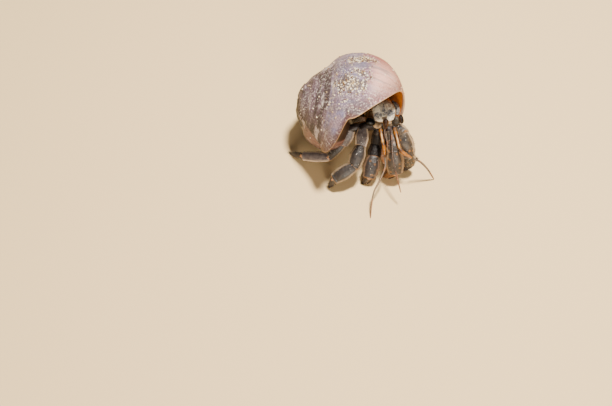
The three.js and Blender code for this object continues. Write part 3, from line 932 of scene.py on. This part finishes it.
def plateShader(name, look):
    paint = Paint(name)
    along, turn = paint.field("along"), paint.field("turn")
    mottle = paint.noise(look["mottle"] * mm, 4, 0.6)
    fine = paint.noise(0.35 * mm, 3, 0.6)
    dots = paint.cells(look["dots"] * mm)
    color = paint.mix(mottle.between(0.4, 0.62), look["skin"], look["dark"])
    speck = (0.3 - dots).between(0.0, 0.1) * mottle.between(0.52, 0.66)
    fleck = (0.26 - paint.cells(2.1 * mm)).between(0.0, 0.08) * look["fleck"]
    side = abs(turn.cosine())
    reach = abs(along - 0.5) * 2
    edge = side.most(reach * reach * 0.96) + (mottle - 0.5) * 0.24 + (fine - 0.5) * 0.12
    rim = edge.between(look["rimFrom"], look["rimFrom"] + look["rimSpan"])
    ends = (reach + (mottle - 0.5) * 0.16).between(0.9, 0.97) * look["endShare"]
    color = paint.layered(color, look, [
        (speck * 0.9, "speck"), (fleck, "end"), (rim * 0.9, "rim"), (ends, "end")])
    height = fine * 0.4 + speck * 0.5 + mottle * 0.3 + rim * 0.5
    return paint.finish(Base_Color=color, Roughness=0.38 + fine * 0.25, Specular_IOR_Level=look["gloss"],
                        Normal=paint.bump(height, 0.12 * mm))


plainLook = {"rimFrom": 0.78, "rimSpan": 0.2, "endShare": 0.5, "mottle": 1.4, "dots": 0.6, "fleck": 0.0,
             "gloss": 0.5}
looks = {
    "slate": {"skin": "2e2621", "dark": "1b1614", "speck": "d4cbc2", "rim": "90795d", "rimFrom": 0.72,
        "end": "8e591d", "endShare": 0.8, "mottle": 1.6},
    # a lighter copy of slate for the leg plates that sit in shade: painted light
    "paleSlate": {"skin": "655b59", "dark": "483f3e", "speck": "d4cbc2", "rim": "c4aa8e", "rimFrom": 0.72,
        "end": "8e591d", "endShare": 0.8, "mottle": 1.6},
    "olive": {"skin": "483a2b", "dark": "1d1816", "speck": "dacbb5", "rim": "a2896c", "rimFrom": 0.74,
        "end": "8e591d", "endShare": 0.8, "mottle": 2.4, "dots": 0.8, "fleck": 0.85},
    "clawLeft": {"skin": "382c21", "dark": "211914", "speck": "cbb8a2", "rim": "896a4b", "rimFrom": 0.68,
        "rimSpan": 0.22, "end": "8e591d", "endShare": 0.8, "mottle": 1.6, "dots": 0.7, "fleck": 0.5},
    "clawRight": {"skin": "2a211d", "dark": "18120e", "speck": "bcaa95", "rim": "6c523c", "rimFrom": 0.68,
        "rimSpan": 0.22, "end": "8e591d", "endShare": 0.8, "mottle": 1.6, "dots": 0.7, "fleck": 0.3},
    "shaded": {"skin": "191412", "dark": "120d0d", "speck": "453830", "rim": "382b1f", "rimFrom": 0.7,
        "end": "3f2919", "endShare": 0.6, "dots": 0.7, "gloss": 0.15},
    "tips": {"skin": "302a29", "dark": "1d1818", "speck": "95897c", "rim": "504238", "rimFrom": 0.8,
        "end": "694b30", "mottle": 1.2},
    "fingersRight": {"skin": "3f3732", "dark": "292321", "speck": "b3a490", "rim": "8b6f52",
        "rimFrom": 0.68, "rimSpan": 0.22, "end": "957650", "endShare": 0.6, "fleck": 0.2},
    "fingersLeft": {"skin": "8b5724", "dark": "613a19", "speck": "e7cb9b", "rim": "aa793f",
        "rimFrom": 0.8, "end": "e7d4b1", "endShare": 0.8},
    "stalkRight": {"skin": "a28665", "dark": "695238", "speck": "bca67c", "rim": "aa906f",
        "end": "593f27", "mottle": 1.1, "dots": 0.5, "fleck": 0.3},
    # the left eyestalk is a much darker copy of the stalk skin, for the side that catches the light: painted
    # shade
    "stalkLeftShaded": {"skin": "32281b", "dark": "1d1610", "speck": "6f614d", "rim": "594b38", "end": "4b351f",
        "mottle": 1.1, "dots": 0.5, "gloss": 0.25},
    "mouth": {"skin": "352418", "dark": "1d140d", "speck": "614b30", "rim": "4b351f", "rimFrom": 0.8,
        "end": "4b3019", "mottle": 0.8, "dots": 0.4, "gloss": 0.15},
    "flankPlate": {"skin": "736a61", "dark": "3f3835", "speck": "dacbb3", "rim": "95551d",
        "end": "95551d", "endShare": 0.6, "mottle": 0.9, "dots": 0.5},
    "beak": {"skin": "2f1605", "dark": "1d1005", "speck": "7c5930", "rim": "613f1f", "rimFrom": 0.7,
        "rimSpan": 0.25, "end": "3f2919", "mottle": 0.8, "dots": 0.4, "gloss": 0.2},
}
shaders = {name: plateShader(name, {**plainLook, **look}) for name, look in looks.items()}

# each solid piece gives way, by the gap, to those listed before it

gap = 0.22
placed = []
ringCounts = {  # rings along a rod, points around it
    "shield": (80, 120), "sidePlate": (56, 56), "rostrum": (48, 48), "eye": (48, 64), "eyestalk": (40, 48),
    "antenna_base": (72, 40), "feeler": (460, 14), "antennule": (240, 14), "maxilliped": (48, 36),
    "plate": (64, 72), "palm": (56, 72), "thumb": (30, 36), "room": (16, 24),
}


def boxesMeet(a, b):
    corners = [np.array([corner[:] for corner in piece.bound_box]) for piece in (a, b)]
    return all(np.all(p.min(0) < q.max(0)) for p, q in (corners, corners[::-1]))


def place(name, build, material, slot):  # build takes a name, a margin and whether to show detail
    piece = build("dressed" + "".join(word.capitalize() for word in name.split("_")), 0.0, True)
    for other in placed:
        room = other("room", gap, False)
        bpy.context.view_layer.update()
        if boxesMeet(piece, room):
            combine(piece, room, "DIFFERENCE")
        else:
            bpy.data.objects.remove(room)
    placed.append(build)
    finishMesh(piece.data, plateAngle)
    return claim(piece, material, slot, name)


def rodBuilder(kind, spec, relief=None):
    def build(name, grow, detailed):
        steps, sides = ringCounts[kind if detailed else "room"]
        return rod(name, {**spec, "steps": steps, "sides": sides}, grow, relief if detailed else None)
    return build


def palmBuilder(claw, relief):
    palm = rodBuilder("palm", plateSpec(claw, 2, "palm"), relief)
    tip = np.array(claw["joints"][4]) + claw["thumb"]
    root = np.array(claw["joints"][3]) + 0.5 * np.array(claw["thumb"]) + thumbRoot
    spec = {"path": [root, tip], "widths": claw["finger"], "depth": plateDepth}
    thumb = rodBuilder("thumb", spec, fingerRelief(77))

    def build(name, grow, detailed):
        return combine(palm(name, grow, detailed), thumb("thumb", grow, detailed), "UNION")
    return build


rods = {
    "eyestalk_right": {"path": [(11.4, -10.6, 20.2), (10.2, -11.6, 20.6), (9.0, -11.5, 21.5)],
        "widths": (2.4, 2.4, 2.0)},
    "eye_right": {"path": [(9.1, -11.5, 21.6), (7.7, -11.3, 22.2), (6.2, -11.1, 22.8)],
        "widths": (2.6, 3.0, 2.7)},
    "eyestalk_left": {"path": [(15.4, -9.6, 20.7), (17.0, -9.6, 21.3), (18.5, -9.4, 21.9)],
        "widths": (2.6, 3.7, 3.4), "depth": 0.66},
    "eye_left": {"path": [(18.5, -9.4, 21.9), (19.3, -9.3, 22.1), (20.1, -9.2, 22.3)],
        "widths": (3.1, 3.5, 2.6), "depth": 0.74},
    "antenna_base_right": {"path": [(11.3, -10.4, 19.3), (12.2, -15.1, 17.9), (13.2, -18.8, 15.6),
        (13.5, -20.4, 13.9)], "widths": (2.0, 1.7, 1.5, 1.2)},
    "antenna_base_left": {"path": [(16.7, -10.9, 19.3), (17.9, -15.8, 18.6), (19.5, -20.0, 16.6),
        (23.8, -21.8, 14.4)], "widths": (2.0, 1.7, 1.6, 1.2)},
    "feeler_right": {"path": [(13.6, -20.9, 13.4), (13.9, -23.7, 11.2), (12.1, -28.2, 8.5), (10, -32.1, 6),
        (9.3, -36.1, 3), (9.1, -40.2, 0.2)], "widths": (0.9, 0.85, 0.75, 0.65, 0.6, 0.6), "even": True},
    "feeler_left": {"path": [(24.4, -21.6, 14.1), (27.1, -21.0, 11.3), (30.0, -20.8, 7),
        (33.1, -20.6, 0.2)], "widths": (0.9, 0.8, 0.7, 0.6), "even": True},
    "antennule_right": {"path": [(13.3, -10.6, 19.6), (13.2, -14.6, 19.6), (14.2, -16.9, 17.7),
        (14.5, -18.6, 15.6)], "widths": (0.9, 0.75, 0.65, 0.6), "even": True},
    "antennule_left": {"path": [(15.3, -10.6, 19.6), (15.9, -16.4, 19.0), (16.6, -23.4, 15.6),
        (18.4, -28.6, 11.2), (20.2, -32.5, 6.5)], "widths": (0.9, 0.75, 0.7, 0.65, 0.6), "even": True},
    "maxilliped_right": {"path": [(13.4, -10.4, 17.6), (13.2, -13.6, 15.6), (13.2, -14.6, 12.6)],
        "widths": (2.0, 1.9, 1.2)},
    "maxilliped_left": {"path": [(15.6, -10.4, 17.2), (15.3, -13.4, 14.8), (15.1, -14.4, 12.2)],
        "widths": (2.0, 1.9, 1.2)},
}
shield = {"path": [(12.2, -1.9, 24.0), (12.4, -6.0, 23.6), (12.9, -10.6, 21.7)], "widths": (6.8, 9.0, 8.2),
          "depth": 0.38}
sidePlate = {"path": [(15.4, -2.0, 23.8), (17.4, -4.1, 23.2), (17.8, -7.4, 22.0)],
             "widths": (1.8, 2.4, 2.0), "depth": 0.8}
rostrum = {"path": [(13.3, -8.9, 22.9), (13.4, -11.4, 22.0), (13.5, -12.7, 20.4)], "widths": (2.6, 2.3, 1.2)}
trunk = {"path": [(13.4, -10.4, 19.0), (11.7, -5.4, 19.2), (9.4, -0.6, 20.0), (6.0, 3.4, 21.0),
                  (1.6, 5.6, 21.0)],
         "widths": (7.6, 12.6, 11.4, 8.6, 5.6), "depth": 0.62}


def shieldRelief(along, around, points):
    shape = along.shape
    groove = -np.exp(-((along - 0.42 - 0.12 * np.sin(around)) / 0.04) ** 2) * 0.05
    groove = groove * np.clip(np.sin(around), 0, 1)
    middle = -np.exp(-((np.cos(around)) / 0.06) ** 2) * np.clip(along - 0.45, 0, 0.2) * 0.5
    rim = np.exp(-((along - 0.93) / 0.03) ** 2) * 0.12
    lumps = layeredNoise(points, 1.4, 51, 3).reshape(shape) * 0.09
    return groove + middle + rim + lumps - 0.08


def shieldShader():
    paint = Paint("shieldPlate")
    along, turn = paint.field("along"), paint.field("turn")
    mottle = paint.noise(1.5 * mm, 5, 0.62, 0.6)
    fine = paint.noise(0.4 * mm, 3, 0.6)
    across = turn.cosine() + (mottle - 0.5) * 0.5
    down = along + (mottle - 0.5) * 0.2
    cream = paint.mix(mottle.between(0.42, 0.6), "f1e2c5", "aa9b89")
    slate = paint.mix(fine.between(0.42, 0.6), "3c3d44", "7e7c7d")

    def spot(sideways, lengthways, width, length):
        return (1 - abs(across - sideways) / width - abs(down - lengthways) / length).between(0.0, 0.4)

    spots = spot(0.5, 0.74, 0.62, 0.2).most(spot(-0.5, 0.69, 0.6, 0.2)).most(spot(0.0, 0.6, 0.26, 0.34))
    color = paint.mix(spots * (mottle * 0.7 + fine * 0.5).between(0.46, 0.6), cream, slate)
    middle = (0.34 - abs(across + 0.08)).between(0.0, 0.12) * down.between(0.74, 0.84)
    color = paint.mix(middle * 0.9, color, "4b331d")
    color = paint.mix(abs(across).between(0.94, 1.04) * 0.85, color, "a26930")
    return paint.finish(Base_Color=color, Roughness=0.4 + fine * 0.2,
                        Normal=paint.bump(mottle * 0.5 + fine * 0.4, 0.14 * mm))


eyeLooks = {
    "right": {"name": "eyeRight", "rim": "070403", "pupil": "040202", "roughness": 0.35},
    "left": {"name": "eyeLeft", "rim": "351e0e", "pupil": "130a05", "roughness": 0.5},
}
# the band colour draws the rings and, along the top of each antenna, a painted highlight
antennaLooks = {
    "base": {"name": "antennaOrange", "low": "351b0a", "high": "593214", "band": "c59350", "tail": "95590a",
             "rings": 2.2},
    "feeler": {"name": "feelerRings", "low": "4b3c30", "high": "61503f", "band": "8b6c4b", "tail": "815530",
               "rings": 58},
    "antennule": {"name": "antennuleRings", "low": "2c1f1d", "high": "3f2d24", "band": "5d452f",
                  "tail": "734524",
                  "rings": 30},
}
stripeTurn = 6.283  # radians of one stripe along a feeler


def eyeShader(look):
    paint = Paint(look["name"])
    facets = paint.cells(0.11 * mm)
    along = paint.field("along") + (paint.noise(0.8 * mm) - 0.5) * 0.3
    color = paint.mix(along.between(0.25, 0.5), look["rim"], look["pupil"])
    return paint.finish(Base_Color=color, Roughness=look["roughness"], Specular_IOR_Level=0.2,
                        Normal=paint.bump(facets, 0.012 * mm))


def antennaShader(look):
    paint = Paint(look["name"])
    along, turn = paint.field("along"), paint.field("turn")
    mottle = paint.noise(0.9 * mm, 3)
    fine = paint.noise(0.25 * mm, 3)
    color = paint.mix(mottle.between(0.35, 0.65), look["low"], look["high"])
    wave = (along * (look["rings"] * stripeTurn)).sine()
    # a narrow pale stripe along the upper side of each antenna: painted highlight
    ridgeHighlight = turn.sine().between(0.85, 0.99)
    ridgeHighlight = ridgeHighlight * along.between(0.22, 0.34) * (1 - along.between(0.56, 0.64))
    knuckles = (0.05 - abs(along - 0.2)).between(0.0, 0.03) + along.between(0.66, 0.74)
    stripesAndHighlight = wave.between(0.5, 1.0) * 0.12 + ridgeHighlight * 0.75
    color = paint.layered(color, look, [(stripesAndHighlight, "band"), (knuckles * 0.85, "tail")])
    return paint.finish(Base_Color=color, Roughness=0.36 + fine * 0.15, Normal=paint.bump(fine, 0.03 * mm))


def segmentRelief(joints, depth=0.14):
    def relief(along, around, points):
        cuts = sum(np.exp(-((along - joint) / 0.02) ** 2) for joint in joints)
        swell = sum(np.exp(-((along - joint + 0.06) / 0.03) ** 2) for joint in joints)
        lumps = layeredNoise(points, 0.7, 61, 2).reshape(along.shape) * 0.04
        return -cuts * depth + swell * 0.06 + lumps - 0.05
    return relief


def ringedRelief(rings):
    def relief(along, around, points):
        return np.sin(along * rings * 2 * math.pi) * 0.035 - 0.02
    return relief


orangeBase, ringedFeeler, duskAntennule = (antennaShader(look) for look in antennaLooks.values())
shieldPlate = shieldShader()
place("shield", rodBuilder("shield", shield, shieldRelief), shieldPlate, "carapace")
flank = rodBuilder("sidePlate", sidePlate, plateRelief(41, 0.8))
place("side_plate_left", flank, shaders["flankPlate"], "carapace")
eyes = {side: eyeShader(look) for side, look in eyeLooks.items()}
stalks = {"right": shaders["stalkRight"], "left": shaders["stalkLeftShaded"]}
feelerRelief = ringedRelief(antennaLooks["feeler"]["rings"])
antennuleRelief = ringedRelief(antennaLooks["antennule"]["rings"])
headParts = {  # relief, material or one for each side, slot
    "eye": (None, eyes, "eye"),
    "eyestalk": (segmentRelief([0.25], 0.06), stalks, "leg_plate"),
    "antenna_base": (segmentRelief([0.3, 0.62, 0.86]), orangeBase, "joint_orange"),
    "feeler": (feelerRelief, ringedFeeler, "joint_orange"),
    "antennule": (antennuleRelief, duskAntennule, "joint_orange"),
}
for side in ("right", "left"):
    for part, (relief, material, slot) in headParts.items():
        chosen = material[side] if isinstance(material, dict) else material
        place(f"{part}_{side}", rodBuilder(part, rods[f"{part}_{side}"], relief), chosen, slot)
place("rostrum", rodBuilder("rostrum", rostrum, plateRelief(43, 0.8)), shaders["beak"], "carapace")
print("head: shield, eyes, antennae")

plateLooks = {
    "claw_left": ("olive", "clawLeft", "clawLeft", "fingersLeft"),
    "claw_right": ("shaded", "shaded", "clawRight", "fingersRight"),
    "leg3_right": ("paleSlate", "slate", "paleSlate", "tips"),
    "leg2_right": ("paleSlate", "slate", "slate", "tips"),
    "leg2_left": ("olive", "olive", "olive", "tips"),
    "leg3_left": ("olive", "olive", "olive", "tips"),
}
for name, limb in limbs.items():
    isClaw = name.startswith("claw")
    order = clawPlates if isClaw else limbPlates
    for index in (3, 2, 1, 0):
        plate = order[index]
        seed = 100 + 7 * index + 31 * len(placed)
        if plate == "palm":
            builder = palmBuilder(limb, plateRelief(seed, 1.5))
        else:
            relief = fingerRelief(seed) if index == 3 else plateRelief(seed, 1.5 if isClaw else 1.0)
            builder = rodBuilder("plate", plateSpec(limb, index, plate), relief)
        look = shaders[plateLooks[name][index]]
        place(f"{name}_{plate}", builder, look, "claw_plate" if isClaw else "leg_plate")
print("limbs: claws and walking legs")

for side in ("right", "left"):
    jaw = rodBuilder("maxilliped", rods[f"maxilliped_{side}"], segmentRelief([0.35, 0.7]))
    place(f"maxilliped_{side}", jaw, shaders["mouth"], "leg_plate")


# bristles on the lower plates of every limb: thin cones that lean towards the tip

bristles = {
    "counts": {1: 26, 2: 60, 3: 120}, "length": (0.5, 1.15), "upperLength": 0.7, "thickness": 0.10,
    "seed": 12, "from": 0.12, "to": 0.99, "tipCrowding": 0.8, "edgeSpread": 0.35, "spread": 0.16,
    "outward": 0.75, "forward": 0.8, "rootDepth": 0.25, "bendAt": 0.55, "bendWidth": 0.7, "tipDrift": 0.12,
    "patch": 0.003,
}


def bristleShader():
    paint = Paint("bristle")
    tone = paint.noise(0.6 * mm, 2)
    color = paint.mix(tone.between(0.4, 0.6), "593f27", "302319")
    return paint.finish(Base_Color=color, Roughness=0.45)


def growBristles():
    draw = np.random.default_rng(bristles["seed"])
    points, places = [], []
    corners = np.arange(3) * 2 * math.pi / 3
    for tile, (name, limb) in enumerate(limbs.items()):
        order = clawPlates if name.startswith("claw") else limbPlates
        for index, count in bristles["counts"].items():
            spec = plateSpec(limb, index, order[index])
            crowding = bristles["tipCrowding"] if index == 3 else 1.0
            s = draw.uniform(bristles["from"], bristles["to"], count) ** crowding
            angle = draw.uniform(0, 2 * math.pi, count)
            if index < 3:
                angle = np.where(draw.random(count) < 0.5, 0, math.pi)
                angle = angle + draw.normal(0, bristles["edgeSpread"], count)
            centre, along, across, through, half, fullness = rodFrame(spec, s)
            side = np.cos(angle)[:, None] * across + np.sin(angle)[:, None] * plateDepth * through
            root = centre + side * (half - bristles["rootDepth"])[:, None]
            length = draw.uniform(*bristles["length"], count)
            length = length * (1.0 if index == 3 else bristles["upperLength"])
            lean = unit(side) * bristles["outward"] + along * bristles["forward"]
            lean = unit(lean + draw.normal(0, bristles["spread"], (count, 3)))
            first = unit(np.cross(lean, plateFacing))
            second = np.cross(lean, first)
            ring = np.cos(corners)[:, None, None] * first + np.sin(corners)[:, None, None] * second
            thick = bristles["thickness"] / 2
            reach = (length + bristles["rootDepth"])[:, None]
            bend = root + lean * reach * bristles["bendAt"]
            tip = root + lean * reach + along * bristles["tipDrift"]
            hair = [root + ring * thick, bend + ring * thick * bristles["bendWidth"], tip[None]]
            points.append(np.concatenate(hair).transpose(1, 0, 2))
            places.append(np.stack([(tile + 0.1 + 0.8 * angle / (2 * math.pi) % 0.8) / 6,
                                    (index - 1 + 0.1 + 0.8 * s) / 3], -1))
    points, places = np.concatenate(points), np.concatenate(places)
    points[..., 2] = np.maximum(points[..., 2], 0.02)
    faces, patch = [], []
    single = [(0, 1, 4, 3), (1, 2, 5, 4), (2, 0, 3, 5), (3, 4, 6), (4, 5, 6), (5, 3, 6), (2, 1, 0)]
    corner = np.array([(0, 0), (0.5, 0), (1, 0), (0, 0.5), (0.5, 0.6), (1, 0.5), (0.5, 1)])
    corner = corner * bristles["patch"]
    for i in range(len(points)):
        faces += [tuple(7 * i + v for v in face) for face in single]
        patch += [places[i] + corner[v] for face in single for v in face]
    mesh = bpy.data.meshes.new("bristles")
    mesh.from_pydata(toScene(points.reshape(-1, 3)).tolist(), [], faces)
    mesh.uv_layers.new(name="OFBake").data.foreach_set("uv", np.array(patch, dtype=np.float32).ravel())
    finishMesh(mesh)
    return claim(addObject("bristles", mesh), bristleShader(), "bristle")


bristleCoat = growBristles()
print("bristles:", len(bristleCoat.data.polygons), "faces")


# soft skin: the trunk and the folds of skin between the plates

skinSettings = {
    "voxel": 0.26, "jointShare": 0.74, "endShare": 0.7, "reach": 0.5, "foldDepth": 0.78, "easing": 0.5,
    "easeSteps": 3, "wrinkle": 0.09, "wrinkleSize": 0.9, "seed": 90, "lowest": 0.05,
    "trunkSize": (60, 64), "hub": (12.6, -8.4, 18.4), "hubReach": 0.8, "hubWidths": (1.0, 0.86, 0.5),
    "headReach": (0.8, 0.3), "headWidths": (1.1, 1.0, 0.7),
}
mouthFold = {"path": [(13.4, -10.5, 16.0), (13.2, -13.0, 12.0), (13.6, -15.5, 8.5), (14.0, -17.2, 4.4)],
             "widths": (5.0, 4.6, 3.6, 2.2)}


def skinShader():
    paint = Paint("softSkin")
    mottle = paint.noise(1.3 * mm, 4, 0.6)
    fine = paint.noise(0.3 * mm, 4, 0.6)
    orange = paint.field("orange")
    side, front, height = (paint.axis(index) for index in (0, 1, 2))
    # flank is a pale tone, lighter than the skin's own brown, for the patch beside the eye that lies in the
    # lip's shadow: painted light; dark is a near-black painted shade for the skin in the recess under the
    # shell
    flank = paint.mix(mottle.between(0.38, 0.62), "f3cb95", "bf996c")
    dark = paint.mix(mottle.between(0.38, 0.62), "241816", "16100d")
    pale = side.between(-0.0045, -0.002) * height.between(0.0172, 0.0188) * front.between(-0.0006, 0.001)
    color = paint.mix(pale, dark, flank)
    color = paint.mix(orange, color, paint.mix(mottle.between(0.4, 0.6), "ad6c38", "bc957c"))
    return paint.finish(Base_Color=color, Roughness=0.4 + fine * 0.2,
                        Normal=paint.bump(fine + mottle, 0.1 * mm))


def limbFolds(limb, order):
    joints = [np.array(joint, dtype=float) for joint in limb["joints"]]
    middles = [(a + b) / 2 for a, b in zip(joints, joints[1:])]
    root = joints[0] + (np.array(skinSettings["hub"]) - joints[0]) * skinSettings["hubReach"]
    specs = [{"path": [root, joints[0], middles[0]],
              "widths": [limb["merus"][0] * share for share in skinSettings["hubWidths"]]}]
    for index in (1, 2, 3):
        before, after = limb[order[index - 1]], limb[order[index]]
        width = (before[2] + after[0]) / 2 * skinSettings["jointShare"]
        joint, reach = joints[index], skinSettings["reach"]
        path = [joint + (middles[index - 1] - joint) * reach, joint, joint + (middles[index] - joint) * reach]
        narrow = width * skinSettings["endShare"]
        specs.append({"path": path, "widths": (narrow, width, narrow), "depth": skinSettings["foldDepth"]})
    return specs


def headFold(spec):
    start, following = (np.array(point, dtype=float) for point in spec["path"][:2])
    back, forward = skinSettings["headReach"]
    path = [start + (start - following) * back, start + (following - start) * forward]
    return {"path": path, "widths": [spec["widths"][0] * share for share in skinSettings["headWidths"]]}


def orangeShare(points):  # the folds of the limbs are orange; the breast between them is not, and keeps the dark painted shade of the skin
    side, front, height = points.T
    fromLimbs = np.clip((14.5 - height) / 2.5, 0, 1) * np.clip((-12.0 - front) / 2, 0, 1)
    breast = np.clip((2.8 - np.abs(side - 13.3)) * 2, 0, 1) * np.clip((height - 8.0) / 1.5, 0, 1)
    return fromLimbs * (1 - breast * np.clip((front + 17.0) / 1.5, 0, 1))


def buildSkin():
    steps, sides = skinSettings["trunkSize"]
    skin = rod("softSkin", {**trunk, "steps": steps, "sides": sides})
    specs = []
    for name, limb in limbs.items():
        specs += limbFolds(limb, clawPlates if name.startswith("claw") else limbPlates)
    specs.append(mouthFold)
    for side in ("right", "left"):
        specs += [headFold(rods[f"{part}_{side}"]) for part in ("eyestalk", "antenna_base", "maxilliped")]
    folds = [rod("fold", spec) for spec in specs]
    with bpy.context.temp_override(active_object=skin, selected_editable_objects=[skin, *folds]):
        bpy.ops.object.join()
    remesh = skin.modifiers.new("weld", "REMESH")
    remesh.mode = "VOXEL"
    remesh.voxel_size = skinSettings["voxel"] * mm
    remesh.use_smooth_shade = True
    ease = skin.modifiers.new("ease", "SMOOTH")
    ease.factor = skinSettings["easing"]
    ease.iterations = skinSettings["easeSteps"]
    applied(skin)
    mesh = skin.data
    points = meshPoints(mesh) / mm + standsAt
    wrinkle = layeredNoise(points * (1, 1, 1.6), skinSettings["wrinkleSize"], skinSettings["seed"], 3)
    points = points + meshNormals(mesh) * (wrinkle * skinSettings["wrinkle"])[:, None]
    points[:, 2] = np.maximum(points[:, 2], skinSettings["lowest"])
    mesh.vertices.foreach_set("co", toScene(points).ravel())
    addFields(mesh, {"orange": orangeShare(points)})
    finishMesh(mesh)
    return claim(skin, skinShader(), "soft_body", "trunk")


softSkin = buildSkin()
print("soft skin:", len(softSkin.data.polygons), "faces")
